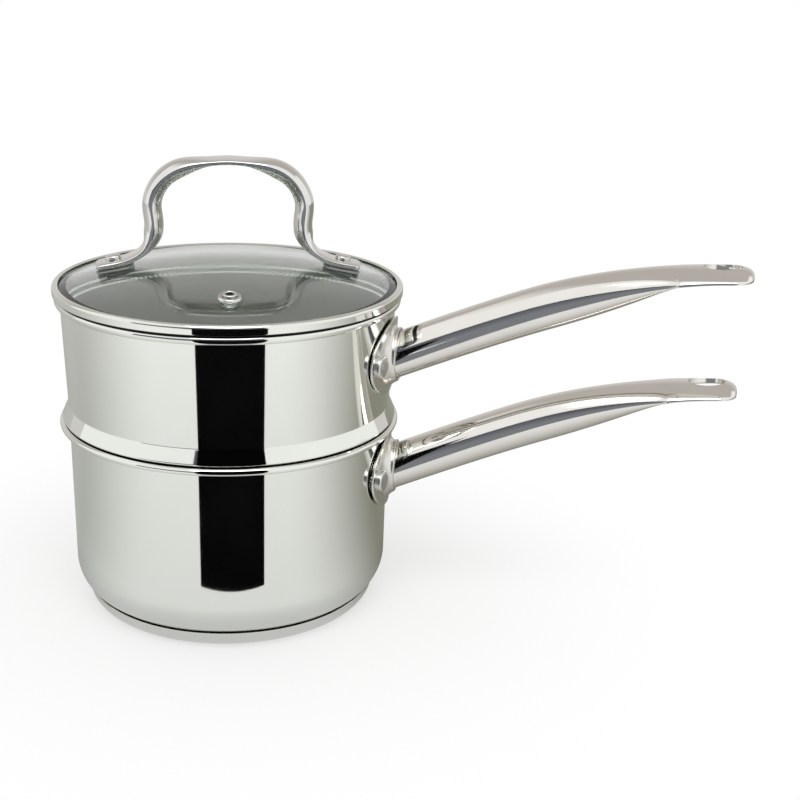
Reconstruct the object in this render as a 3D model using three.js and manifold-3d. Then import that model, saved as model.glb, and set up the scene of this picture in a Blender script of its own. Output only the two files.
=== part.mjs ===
// Steamer pot: a saucepan, a perforated steamer insert that stands in its rim, and a domed glass lid.
// Millimetres, +Z up. The origin is the middle of the underside, and +X runs along the saucepan's handle.

import * as THREE from 'three';
import { mergeVertices } from 'three/addons/utils/BufferGeometryUtils.js';
import Module from 'manifold-3d';

const wasm = await Module();
wasm.setup();

// Fits shared by all pieces
const clearance = 0.3;          // gap between pieces that rest on or pass through each other
const roundSides = 36;          // facets round the turned pieces
const smallSides = 12;          // facets round rivets, washers and their holes
const cornerSteps = 4;          // steps in a quarter round
const cutTolerance = 0.05;      // edges shorter than this are closed up where a piece is cut
const weldTolerance = 1e-4;     // vertices closer than this are one

// Saucepan
const panBore = 160;            // inside diameter at the rim
const panWall = 0.8;
const panHeight = 98.7;         // underside of the base to the top of the rim
const panTaper = 0.8;           // how much the wall draws in from the rim to the bottom corner
const panCorner = 20;           // outside radius of the bottom corner
const panCurl = 2.75;           // half of the rolled rim's width
const panCurlRise = 2.05;       // and of its height

// Capsule base under the pan
const baseDepth = 4.5;          // underside of the cap to the underside of the pan's own floor
const capSheet = 0.6;
const capRise = 4.6;            // seam above the underside of the pan's floor
const capRound = 9;             // width of the cap's rounded side
const coreShare = 0.55;         // top edge of the core, on the way from the pan's floor to the seam

// Steamer insert
const steamerSpread = 4.4;      // insert's bore beyond the pan's
const steamerWall = 0.8;
const steamerRise = 63;         // top of the pan's rim to the top of the insert's rim
const steamerCurl = 1.75;       // half of the rolled rim's width
const steamerCurlRise = 2.1;    // and of its height
const steamerTurn = -4.2;       // degrees that the insert is turned on the pan
const neckDraw = 3;             // how much the wall draws in from the rim to the neck
const neckRise = 7.5;           // neck above the seat
const seatOverhang = 4;         // bead beyond the pan's bore
const seatNose = 1;             // radius of the bead's edge
const skirtSlack = 1.4;         // skirt inside the pan's bore
const floorRoom = 2;            // underside of the floor above the saucepan's rivets
const skirtCorner = 8;
const steamHole = 6;            // diameter of a steam hole
const steamHoleSides = 6;
const steamRings = 3;
const steamRingPitch = 16;
const holesPerRing = 6;         // added with each ring

// Long handles
const tubeRadius = 10.9;
const tubeSheet = 1.2;
const handleReach = 168;        // start of the tube to the end of the tip
const handleRise = 51.8;        // start of the tube to the tip's edge
const handleSlope = 24;         // degrees at the start
const startPull = 0.44;         // part of the reach over which the start's slope pulls
const endPull = 0.29;           // and the tip's
const tipWidth = 29;
const tipSheet = 2;             // the two pressed layers together
const tipCrown = 4.4;
const tipRound = 11;            // length of the rounded end
const tipEdge = 0.35;           // squareness of the tip's edge, where 1 is round
const endPower = 2.5;           // squareness of a rounded end, where 2 is round
const endKept = 0.985;          // part of a rounded end that is kept, so that it isn't a point
const flattenLength = 107;      // stretch in which the tube's top goes flat
const flattenLead = 17.5;       // start of that stretch before the start of the belly's
const bellyLength = 56.5;       // stretch in which the belly runs out
const bellyEnd = 34;            // end of the belly before the end of the tip
const hollowEnd = 56;           // end of the hollow before the end of the tip
const hangLength = 18;
const hangWidth = 12;
const hangInset = 14.5;         // middle of the hang hole before the end of the tip
const tubeSides = 16;
const tubeRings = 20;
const hollowRings = 8;
const ringBunching = 1.6;       // how much the rings crowd together towards the tip
const mouthLead = 0.01;         // part of the curve by which the hollow starts before the tube

// Handle brackets
const panPlateGap = 1.8;        // plate below the pan's rolled rim
const steamerPlateGap = 3.5;    // and below the insert's
const plateSheet = 1.8;
const plateBrow = 3.7;          // plate beyond the boss, above and below
const plateEdge = 0.6;          // plate beyond the rivet heads, sideways
const plateSteps = 28;          // steps in half of the plate's oval
const collarSheet = 2.3;
const collarLength = 1.4;
const flareLength = 2.2;        // plate's face to the collar
const bossFlare = 1.8;          // boss beyond the collar at the plate
const tubeSeat = 1.5;           // start of the tube above the plate's face
const rivetGap = 0.3;           // rivet head beside the boss
const rivetHead = 10;
const rivetHeadHeight = 3.2;
const rivetShank = 5;
const rivetTail = 9;
const rivetTailHeight = 1.4;
const headRound = 75;           // degrees over which a rivet's head is rounded before it goes flat
const headSteps = 3;
const tailRound = 60;
const tailSteps = 2;

// Lid glass and its band
const domeRadius = 288;
const domeSteps = 6;
const glassSheet = 4;
const edgeShare = 0.55;         // part of the sheet that is left at the ground edge
const bandOverhang = 0.9;       // band beyond the insert's rim
const bandSheet = 0.6;
const sealRoom = 0.8;           // room for the seal between the glass's edge and the top of the band
const bandShoulder = 1.8;       // radius of the band's shoulder
const lipSlack = 1;             // lip inside the insert's bore
const lipDrop = 8;
const glassSlack = 0.6;         // glass inside the band
const edgeGrind = 0.5;          // rounding ground on the glass's edge
const sealInset = 0.8;          // seal showing inside the band

// Lid handle
const lidTurn = 14.15;          // degrees that the lid is turned on the insert
const gripHeight = 48.45;       // middle of the grip above the crown of the glass
const gripSheet = 3;
const gripWidth = 18;
const gripFlat = 6;             // half of the grip's flattest stretch
const gripEnd = 26;             // end of the flattening, from the lid's middle
const bulgeSpan = 37.4;         // widest place of the legs, from the lid's middle
const shoulderTuck = 8.2;       // shoulder inside the bulge
const waistTuck = 1.3;          // waist inside the bulge
const ankleFlare = 1.6;         // ankle beyond the bulge
const shoulderShare = 0.143;    // way down from the grip to the crown of the glass
const bulgeShare = 0.424;
const waistShare = 0.642;
const ankleShare = 0.87;
const legThickness = 9.3;
const legWidth = 17;
const footRivetSpan = 55.6;     // foot's rivet to the lid's middle
const footSheet = 3.6;
const footWidth = 16.5;
const heelRun = 6.6;            // flat of the foot from its rivet inward
const toeRun = 8.9;             // and outward
const toeRound = 2.5;
const flatEdge = 0.45;          // squareness of the flattened grip and feet across their thickness
const flatSide = 0.8;           // and across their width
const footRivetHead = 7.6;
const footRivetHeadHeight = 2;
const footRivetShank = 4;
const footRivetTail = 6.4;
const footRivetTailHeight = 1.2;
const padSheet = 0.9;
const padLip = 0.1;             // pad beyond the foot's toe
const underSealOuter = 12;
const underSealSheet = 1;
const washerOuter = 11;
const washerSheet = 0.8;
const bailSides = 12;
const bailRings = 34;

// Steam vent
const ventSpan = 58;            // vent to the lid's middle
const ventBarrel = 6.8;
const ventSheet = 1.45;         // wall of the barrel
const ventFlangeWidth = 1.4;    // flange beyond the barrel
const ventFlangeSheet = 0.8;
const ventLip = 1.8;            // lip above the flange
const ventWasherSheet = 0.8;
const ventClinch = 0.8;         // clinched end below the washer

// Working values
const panFloorRadius = panBore / 2 + panWall - panTaper - panCorner;
const panCornerHeight = baseDepth + panCorner;
const panCurlHeight = panHeight - panCurlRise;
const capHeight = baseDepth + capRise;
const coreHeight = baseDepth + coreShare * capRise;
const seatHeight = panHeight + clearance;
const neckHeight = seatHeight + neckRise;
const steamerHeight = panHeight + steamerRise;
const steamerCurlHeight = steamerHeight - steamerCurlRise;
const steamerBore = panBore + steamerSpread;
const steamerRim = steamerBore / 2 + 2 * steamerCurl;
const skirtRadius = panBore / 2 - skirtSlack;
const collarRadius = tubeRadius + clearance + collarSheet;
const bossRadius = collarRadius + bossFlare;
const rivetSpread = bossRadius + rivetGap + rivetHead / 2;
const plateWidth = 2 * (rivetSpread + rivetHead / 2 + plateEdge);
const plateHeight = 2 * (bossRadius + plateBrow);
const panPlateHeight = panHeight - 2 * panCurlRise - panPlateGap - plateHeight / 2;
const steamerPlateHeight = steamerHeight - 2 * steamerCurlRise - steamerPlateGap - plateHeight / 2;
const floorHeight = panPlateHeight + rivetTail / 2 + floorRoom;
const bandBottom = steamerHeight + clearance;
const bandRadius = steamerRim + bandOverhang;
const flangeTop = bandBottom + bandSheet;
const glassSeat = flangeTop + clearance;
const glassRadius = bandRadius - bandSheet - glassSlack;
const glassEdge = edgeShare * glassSheet;
const bandHeight = glassEdge + 2 * bandSheet + 3 * clearance + sealRoom;
const domeMiddle = glassSeat + glassEdge - Math.sqrt(domeRadius ** 2 - glassRadius ** 2);
const apexHeight = domeMiddle + domeRadius;
const gripTop = apexHeight + gripHeight;
const roundInset = Math.cos(Math.PI / roundSides);

// Colours of the finishes
const polishedSteel = { color: 0xd8d8d4, roughness: 0.12, metalness: 1 };
const satinSteel = { color: 0xc4c1ba, roughness: 0.32, metalness: 1 };
const castAluminium = { color: 0xb8bcc0, roughness: 0.5, metalness: 1 };
const smokedGlass = { color: 0xa9b5b0, roughness: 0.05, metalness: 0, transparent: true, opacity: 0.4 };
const darkSilicone = { color: 0x2a2c2d, roughness: 0.6, metalness: 0 };
const clearSilicone = { color: 0xd9dcd8, roughness: 0.5, metalness: 0 };

// Keeps only the positions, shares the vertices and drops the triangles that have collapsed on the axis.
function weld(geometry) {
  geometry.deleteAttribute('normal');
  geometry.deleteAttribute('uv');
  const welded = mergeVertices(geometry, weldTolerance);
  const corners = welded.index.array;
  const kept = [];
  for (let i = 0; i < corners.length; i += 3) {
    const [a, b, c] = [corners[i], corners[i + 1], corners[i + 2]];
    if (a !== b && b !== c && c !== a) kept.push(a, b, c);
  }
  welded.setIndex(kept);
  return welded;
}

function solid(geometry) {
  const welded = weld(geometry.clone());
  return new wasm.Manifold(new wasm.Mesh({
    numProp: 3,
    vertProperties: Float32Array.from(welded.attributes.position.array),
    triVerts: Uint32Array.from(welded.index.array),
  }));
}

function geometryOf(shape) {
  const mesh = shape.asOriginal().simplify(cutTolerance).getMesh();
  const geometry = new THREE.BufferGeometry();
  geometry.setAttribute('position', new THREE.BufferAttribute(mesh.vertProperties, 3));
  geometry.setIndex(new THREE.BufferAttribute(mesh.triVerts, 1));
  return geometry;
}

function piece(name, shape, finish) {
  const geometry = shape.isBufferGeometry ? weld(shape) : geometryOf(shape);
  geometry.computeVertexNormals();
  const mesh = new THREE.Mesh(geometry, new THREE.MeshStandardMaterial(finish));
  mesh.name = name;
  return mesh;
}

const point = (radius, height) => new THREE.Vector2(radius, height);

// Points of an arc in a profile, angles in degrees from the outward direction.
function arc(radius, height, acrossRadius, upRadius, from, to, steps = cornerSteps) {
  const points = [];
  for (let i = 0; i <= steps; i += 1) {
    const angle = THREE.MathUtils.degToRad(from + (to - from) * i / steps);
    points.push(point(radius + acrossRadius * Math.cos(angle), height + upRadius * Math.sin(angle)));
  }
  return points;
}

// Turns a profile of radius and height round Z. The profile starts and ends on the axis.
function turned(profile, sides = roundSides) {
  return new THREE.LatheGeometry(profile, sides).rotateX(Math.PI / 2);
}

// Turns a closed profile into a ring.
function turnedRing(profile, sides = roundSides) {
  return turned([...profile, profile[0].clone()], sides);
}

// A round rod along Z from one height to another. A facet, and not a corner, faces along X and Y.
function rod(diameter, from, to, sides = smallSides) {
  return new THREE.CylinderGeometry(diameter / 2, diameter / 2, to - from, sides)
    .rotateX(Math.PI / 2)
    .rotateZ(Math.PI / sides)
    .translate(0, 0, (from + to) / 2);
}

// Lays a shape that was made along Z along the radius at an angle, at a height.
function alongRadius(geometry, angle, height) {
  return geometry.rotateY(Math.PI / 2).rotateZ(angle).translate(0, 0, height);
}

// The rolled rim: from the wall's outside, round the curl, to the wall's inside.
function rolledRim(bore, wall, curl, curlRise, height) {
  const meet = THREE.MathUtils.radToDeg(Math.acos((wall - curl) / curl));
  return arc(bore / 2 + curl, height, curl, curlRise, -meet, 180, 2 * cornerSteps);
}

const panWallOutside = (z) => {
  const share = (z - panCornerHeight) / (panCurlHeight - panCornerHeight);
  return panBore / 2 + panWall - panTaper * (1 - share);
};

const steamerWallOutside = (z) => {
  const share = (z - neckHeight) / (steamerCurlHeight - neckHeight);
  return steamerBore / 2 + steamerWall - neckDraw * (1 - share);
};

function panShape() {
  return solid(turned([
    point(0, baseDepth),
    ...arc(panFloorRadius, panCornerHeight, panCorner, panCorner, -90, 0),
    ...rolledRim(panBore, panWall, panCurl, panCurlRise, panCurlHeight),
    ...arc(panFloorRadius, panCornerHeight, panCorner - panWall, panCorner - panWall, 0, -90),
    point(0, baseDepth + panWall),
  ]));
}

// The cap's side is a quarter ellipse that ends beside the pan's corner.
const cornerAt = (z, grow) => (
  panFloorRadius + Math.sqrt((panCorner + grow) ** 2 - (panCornerHeight - z) ** 2)
);
const capRadius = cornerAt(capHeight, clearance + capSheet);
const capFlat = capRadius - capRound;

function capProfile(inset, from, to) {
  return arc(capFlat, capHeight, capRound - inset, capHeight - inset, from, to);
}

function baseCap() {
  return turned([
    point(0, 0),
    ...capProfile(0, -90, 0),
    ...capProfile(capSheet, 0, -90),
    point(0, capSheet),
  ]);
}

function baseCore() {
  const inset = capSheet + clearance;
  const capEnd = THREE.MathUtils.radToDeg(Math.asin((coreHeight - capHeight) / (capHeight - inset)));
  const panSide = panCorner + clearance;
  const panEnd = THREE.MathUtils.radToDeg(Math.asin((coreHeight - panCornerHeight) / panSide));
  return turned([
    point(0, inset),
    ...capProfile(inset, -90, capEnd),
    ...arc(panFloorRadius, panCornerHeight, panSide, panSide, panEnd, -90),
    point(0, baseDepth - clearance),
  ]);
}

function steamerShape() {
  const neckRadius = steamerWallOutside(neckHeight);
  const noseRadius = panBore / 2 + seatOverhang - seatNose;
  const noseHeight = seatHeight + seatNose;
  const lean = THREE.MathUtils.radToDeg(Math.atan2(noseRadius - neckRadius, neckHeight - noseHeight));
  const floorCorner = skirtRadius - skirtCorner;
  const inner = skirtCorner - steamerWall;
  return solid(turned([
    point(0, floorHeight),
    ...arc(floorCorner, floorHeight + skirtCorner, skirtCorner, skirtCorner, -90, 0),
    point(skirtRadius, seatHeight),
    ...arc(noseRadius, noseHeight, seatNose, seatNose, -90, lean),
    point(neckRadius, neckHeight),
    ...rolledRim(steamerBore, steamerWall, steamerCurl, steamerCurlRise, steamerCurlHeight),
    point(neckRadius - steamerWall, neckHeight),
    point(noseRadius, noseHeight),
    point(skirtRadius - steamerWall, seatHeight + steamerWall),
    ...arc(floorCorner, floorHeight + skirtCorner, inner, inner, 0, -90),
    point(0, floorHeight + steamerWall),
  ]));
}

function steamHoles() {
  const bottom = floorHeight - steamerWall;
  const top = floorHeight + 2 * steamerWall;
  let holes = solid(rod(steamHole, bottom, top, steamHoleSides));
  for (let ring = 1; ring <= steamRings; ring += 1) {
    const count = ring * holesPerRing;
    for (let i = 0; i < count; i += 1) {
      const angle = 2 * Math.PI * i / count;
      const away = ring * steamRingPitch;
      const hole = rod(steamHole, bottom, top, steamHoleSides);
      holes = holes.add(solid(hole.translate(away * Math.cos(angle), away * Math.sin(angle), 0)));
    }
  }
  return holes;
}

// Puts each vertex of an upright unit cylinder where place says, from its share of the way along and its
// place on the unit circle. Its bottom is the start.
function loft(sides, rings, place) {
  const geometry = new THREE.CylinderGeometry(1, 1, 1, sides, rings);
  const position = geometry.attributes.position;
  for (let i = 0; i < position.count; i += 1) {
    const spot = place(position.getY(i) + 0.5, position.getX(i), position.getZ(i));
    position.setXYZ(i, spot.x, spot.y, spot.z);
  }
  return geometry;
}

const smooth = THREE.MathUtils.smoothstep;
const signedPower = (value, power) => Math.sign(value) * Math.abs(value) ** power;
const roundedEnd = (share) => {
  const way = endKept * THREE.MathUtils.clamp(share, 0, 1);
  return (1 - way ** endPower) ** (1 / endPower);
};

// A tube that starts round, and is pressed into a crowned flat tip. The sections are upright planes across
// the handle: the top goes flat gently, and the belly runs out in a quarter round.
function handleTube(start, inset, from, to, rings) {
  const slope = THREE.MathUtils.degToRad(handleSlope);
  const pull = startPull * handleReach;
  const end = start.x + handleReach;
  const line = new THREE.CubicBezierCurve(
    start,
    point(start.x + pull * Math.cos(slope), start.y + pull * Math.sin(slope)),
    point(end - endPull * handleReach, start.y + handleRise),
    point(end, start.y + handleRise),
  );
  const round = tubeRadius - inset;
  const half = tipSheet / 2 - inset;
  const bellyStop = end - bellyEnd;
  const flattenStart = bellyStop - bellyLength - flattenLead;
  return loft(tubeSides, rings, (along, across, up) => {
    const share = from + (to - from) * (1 - (1 - along) ** ringBunching);
    const middle = line.getPoint(share);
    const way = line.getTangent(Math.max(share, 0));
    const belly = THREE.MathUtils.clamp((middle.x - bellyStop + bellyLength) / bellyLength, 0, 1);
    const bellyFlat = 1 - Math.sqrt(1 - belly ** 2);
    const topFlat = smooth(middle.x, flattenStart, flattenStart + flattenLength);
    const flat = up < 0 ? bellyFlat : topFlat;
    const narrow = roundedEnd((middle.x - end + tipRound) / tipRound);
    const crown = tipCrown * narrow * (1 - across ** 2);
    const pressed = crown + half * signedPower(up, tipEdge);
    const rise = THREE.MathUtils.lerp(round * up, pressed, flat);
    const wide = THREE.MathUtils.lerp(round, tipWidth / 2 - inset, bellyFlat);
    return new THREE.Vector3(middle.x, -narrow * wide * across, middle.y + rise / way.x);
  });
}

function longHandle(start) {
  const tube = solid(handleTube(start, 0, 0, 1, tubeRings));
  const hollow = solid(handleTube(start, tubeSheet, -mouthLead, 1 - hollowEnd / handleReach, hollowRings));
  const hole = rod(1, start.y, start.y + 2 * handleRise, 2 * smallSides)
    .scale(hangLength, hangWidth, 1)
    .translate(start.x + handleReach - hangInset, 0, 0);
  return tube.subtract(hollow).subtract(solid(hole));
}

// A rivet along Z: a rounded tail below one face, the shank, and a head above the other.
function rivetShape(shank, tail, tailHeight, tailFace, head, headHeight, headFace) {
  return turned([
    point(0, tailFace - tailHeight),
    ...arc(0, tailFace, tail / 2, tailHeight, -tailRound, 0, tailSteps),
    point(shank / 2, tailFace),
    point(shank / 2, headFace),
    ...arc(0, headFace, head / 2, headHeight, 0, headRound, headSteps),
    point(0, headFace + headHeight),
  ], smallSides);
}

// A bracket on a wall, with the rivets that hold it. wallOutside gives the wall's radius at a height.
function handleMount(wallOutside, wall, middle) {
  const low = middle - plateHeight;
  const high = middle + plateHeight;
  const shell = (grow) => [point(wallOutside(low) + grow, low), point(wallOutside(high) + grow, high)];
  const plateFace = wallOutside(middle) + clearance + plateSheet;
  const bossEnd = plateFace + flareLength + collarLength;

  const oval = new THREE.Shape().absellipse(0, 0, plateHeight / 2, plateWidth / 2, 0, 2 * Math.PI);
  const blank = new THREE.ExtrudeGeometry(oval, {
    depth: plateFace,
    bevelEnabled: false,
    curveSegments: plateSteps,
  });
  const ring = turnedRing([...shell(clearance), ...shell(clearance + plateSheet).reverse()].reverse());
  const plate = solid(ring).intersect(solid(alongRadius(blank, 0, middle)));

  const boss = turned([
    point(0, plateFace - bossRadius),
    point(bossRadius, plateFace - bossRadius),
    point(bossRadius, plateFace),
    point(collarRadius, plateFace + flareLength),
    point(collarRadius, bossEnd),
    point(0, bossEnd),
  ], 2 * smallSides);
  const inside = turned([point(0, low), ...shell(clearance), point(0, high)]);

  const start = point(plateFace + tubeSeat, middle);
  const slope = THREE.MathUtils.degToRad(handleSlope);
  const room = tubeRadius + clearance;
  const socket = new THREE.CylinderGeometry(room, room, plateFace, tubeSides)
    .rotateZ(Math.PI / 2)
    .rotateY(-slope)
    .translate(start.x, 0, start.y);
  const front = new THREE.BoxGeometry(plateFace, plateFace, plateFace)
    .translate(start.x - clearance + plateFace / 2, 0, start.y);

  const angle = Math.asin(rivetSpread / plateFace);
  const tailFace = (wallOutside(middle) - wall) * roundInset - clearance
    - rivetTail ** 2 / (4 * panBore);
  const headFace = plateFace + clearance;
  const rivet = (side) => alongRadius(
    rivetShape(rivetShank, rivetTail, rivetTailHeight, tailFace, rivetHead, rivetHeadHeight, headFace),
    side * angle,
    middle,
  );
  const rivetHole = (side) => {
    const drill = rod(rivetShank + 2 * clearance, tailFace - clearance, headFace + clearance);
    return solid(alongRadius(drill, side * angle, middle));
  };
  const holes = rivetHole(1).add(rivetHole(-1));
  const bracket = plate
    .add(solid(alongRadius(boss, 0, middle)).subtract(solid(inside)))
    .subtract(solid(socket).intersect(solid(front)))
    .subtract(holes);
  return { bracket, holes, rivet, handle: longHandle(start) };
}

function mountedPieces(name, mount) {
  return [
    piece(`${name}_handle_bracket`, mount.bracket, polishedSteel),
    piece(`${name}_handle`, mount.handle, satinSteel),
    piece(`${name}_rivet_front`, mount.rivet(-1), polishedSteel),
    piece(`${name}_rivet_back`, mount.rivet(1), polishedSteel),
  ];
}

// Saucepan
const saucepan = new THREE.Group();
const panMount = handleMount(panWallOutside, panWall, panPlateHeight);
saucepan.add(
  piece('saucepan_body', panShape().subtract(panMount.holes), polishedSteel),
  piece('saucepan_base_core', baseCore(), castAluminium),
  piece('saucepan_base_cap', baseCap(), polishedSteel),
  ...mountedPieces('saucepan', panMount),
);

// Steamer insert
const steamer = new THREE.Group();
const steamerMount = handleMount(steamerWallOutside, steamerWall, steamerPlateHeight);
steamer.add(
  piece('steamer_body', steamerShape().subtract(steamerMount.holes).subtract(steamHoles()), polishedSteel),
  ...mountedPieces('steamer', steamerMount),
);
steamer.rotation.z = THREE.MathUtils.degToRad(steamerTurn);

// The glass is a cap of a sphere. Its underside is ground flat where it sits in the band.
const glassAt = (r) => domeMiddle + Math.sqrt(domeRadius ** 2 - r ** 2);
const glassLean = (r) => Math.asin(r / domeRadius);
const insideRadius = domeRadius - glassSheet;
const insideSpan = Math.sqrt(insideRadius ** 2 - (glassSeat - domeMiddle) ** 2);

function domeProfile(radius, span) {
  const reach = THREE.MathUtils.radToDeg(Math.asin(span / radius));
  return arc(0, domeMiddle, radius, radius, 90 - reach, 90, domeSteps);
}

function glassShape() {
  return solid(turned([
    ...domeProfile(insideRadius, insideSpan).reverse(),
    point(glassRadius - edgeGrind, glassSeat),
    point(glassRadius, glassSeat + edgeGrind),
    point(glassRadius, glassAt(glassRadius) - edgeGrind),
    ...domeProfile(domeRadius, glassRadius - edgeGrind),
  ]));
}

// The band: a lip inside the insert, a flange on its rim, and a wall whose shoulder folds over the glass.
const bandTop = bandBottom + bandHeight;
const bandEdge = bandRadius - bandShoulder;
const lipRadius = steamerBore / 2 - lipSlack;

function rimBand() {
  const lipBottom = bandBottom - lipDrop;
  const shoulder = bandTop - bandShoulder;
  const innerShoulder = bandShoulder - bandSheet;
  return turnedRing([
    point(lipRadius - bandSheet, lipBottom),
    point(lipRadius, lipBottom),
    point(lipRadius, bandBottom),
    point(bandRadius - bandSheet, bandBottom),
    point(bandRadius, bandBottom + bandSheet),
    ...arc(bandEdge, shoulder, bandShoulder, bandShoulder, 0, 90),
    ...arc(bandEdge, shoulder, innerShoulder, innerShoulder, 90, 0),
    point(bandRadius - bandSheet, flangeTop),
    point(lipRadius - bandSheet, flangeTop),
  ]);
}

function rimSeal() {
  const room = bandShoulder - bandSheet - clearance;
  const inner = bandEdge - sealInset;
  const outer = glassRadius - edgeGrind;
  const shoulder = bandTop - bandShoulder;
  const under = (r) => shoulder + Math.sqrt(room ** 2 - (r - bandEdge) ** 2);
  const over = (r) => glassAt(r) + clearance;
  const middle = (bandEdge + outer) / 2;
  return turnedRing([
    point(inner, over(inner)),
    point(outer, over(outer)),
    point(outer, under(outer)),
    point(middle, under(middle)),
    point(inner, under(bandEdge)),
  ]);
}

// The stack at each foot, measured along the glass's normal from the top of the glass.
const footLean = glassLean(footRivetSpan);
const padTop = clearance + padSheet;
const footBottom = padTop + clearance;
const footTop = footBottom + footSheet;
const underSealTop = -glassSheet - clearance - underSealOuter ** 2 / (8 * insideRadius);
const underSealBottom = underSealTop - underSealSheet;
const washerTop = underSealBottom - clearance;
const washerBottom = washerTop - washerSheet;
const shankHole = footRivetShank + 2 * clearance;

function atFoot(thing, side) {
  return thing
    .rotateY(side * footLean)
    .translate(side * footRivetSpan, 0, glassAt(footRivetSpan));
}

// The bail runs up from the flat of a foot, in at the waist, out at the bulge and over to the grip.
function bailLine() {
  const footMiddle = (footBottom + footTop) / 2;
  const footAt = (run) => new THREE.Vector3(
    footRivetSpan + run * Math.cos(footLean) + footMiddle * Math.sin(footLean),
    0,
    glassAt(footRivetSpan) - run * Math.sin(footLean) + footMiddle * Math.cos(footLean),
  );
  const legAt = (span, share) => new THREE.Vector3(span, 0, gripTop - share * gripHeight);
  const half = [
    footAt(toeRun),
    footAt(0),
    footAt(-heelRun),
    legAt(bulgeSpan + ankleFlare, ankleShare),
    legAt(bulgeSpan - waistTuck, waistShare),
    legAt(bulgeSpan, bulgeShare),
    legAt(bulgeSpan - shoulderTuck, shoulderShare),
  ];
  const mirrored = half.map((p) => new THREE.Vector3(-p.x, 0, p.z)).reverse();
  return new THREE.CatmullRomCurve3([...half, legAt(0, 0), ...mirrored]);
}

function lidHandle() {
  const line = bailLine();
  const length = line.getLength();
  const footZ = line.getPointAt(toeRun / length).z;
  const ankleZ = gripTop - ankleShare * gripHeight;
  const shape = loft(bailSides, bailRings, (along, across, up) => {
    const middle = line.getPointAt(along);
    const way = line.getTangentAt(along);
    const leg = smooth(middle.z, footZ + footSheet, ankleZ + 2 * footSheet);
    const grip = 1 - smooth(Math.abs(middle.x), gripFlat, gripEnd);
    const soft = leg * (1 - grip);
    const thick = THREE.MathUtils.lerp(THREE.MathUtils.lerp(footSheet, legThickness, leg), gripSheet, grip);
    const wide = THREE.MathUtils.lerp(THREE.MathUtils.lerp(footWidth, legWidth, leg), gripWidth, grip);
    const end = Math.min(along, 1 - along) * length;
    const narrow = roundedEnd(1 - end / toeRound);
    const rise = thick / 2 * signedPower(up, THREE.MathUtils.lerp(flatEdge, 1, soft));
    const side = wide / 2 * narrow * signedPower(across, THREE.MathUtils.lerp(flatSide, 1, soft));
    return new THREE.Vector3(middle.x + way.z * rise, side, middle.z - way.x * rise);
  });
  const hole = (side) => solid(atFoot(rod(shankHole, 0, footTop + footSheet), side));
  return solid(shape).subtract(hole(1)).subtract(hole(-1));
}

function footPad() {
  const corner = footWidth / 4;
  const [x, y] = [toeRun + padLip, footWidth / 2];
  const outline = new THREE.Shape();
  outline.absarc(x - corner, y - corner, corner, 0, Math.PI / 2);
  outline.absarc(corner - x, y - corner, corner, Math.PI / 2, Math.PI);
  outline.absarc(corner - x, corner - y, corner, Math.PI, 1.5 * Math.PI);
  outline.absarc(x - corner, corner - y, corner, 1.5 * Math.PI, 2 * Math.PI);
  outline.holes.push(new THREE.Path().absarc(0, 0, shankHole / 2, 0, 2 * Math.PI, true));
  const pad = new THREE.ExtrudeGeometry(outline, {
    depth: padSheet,
    bevelEnabled: false,
    curveSegments: cornerSteps,
  });
  return pad.translate(0, 0, clearance);
}

function flatRing(outer, inner, bottom, top) {
  return turnedRing([
    point(inner / 2, bottom),
    point(outer / 2, bottom),
    point(outer / 2, top),
    point(inner / 2, top),
  ], smallSides);
}

function footRivet() {
  const headFace = footTop + clearance;
  const tailFace = washerBottom - clearance;
  return rivetShape(
    footRivetShank,
    footRivetTail,
    footRivetTailHeight,
    tailFace,
    footRivetHead,
    footRivetHeadHeight,
    headFace,
  );
}

// The vent: an eyelet through the glass, clinched over a washer below it.
const ventFlange = ventBarrel + 2 * ventFlangeWidth;
const ventHole = ventBarrel - 2 * ventSheet;
const ventWasherTop = -glassSheet - clearance - ventFlange ** 2 / (8 * insideRadius);
const ventWasherBottom = ventWasherTop - ventWasherSheet;
const ventClinchTop = ventWasherBottom - clearance;

function atVent(thing) {
  return thing.rotateX(glassLean(ventSpan)).translate(0, -ventSpan, glassAt(ventSpan));
}

function ventEyelet() {
  const collarTop = clearance + ventFlangeSheet;
  const lipTop = collarTop + ventLip;
  return turnedRing([
    point(ventHole / 2, ventClinchTop - ventClinch),
    point(ventFlange / 2 - ventFlangeSheet, ventClinchTop - ventClinch),
    point(ventFlange / 2 - ventFlangeSheet, ventClinchTop),
    point(ventBarrel / 2, ventClinchTop),
    point(ventBarrel / 2, clearance),
    point(ventFlange / 2, clearance),
    point(ventFlange / 2, collarTop),
    point(ventBarrel / 2 + ventFlangeSheet, collarTop),
    point(ventBarrel / 2, lipTop),
    point(ventHole / 2, lipTop),
  ], smallSides);
}

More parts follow.
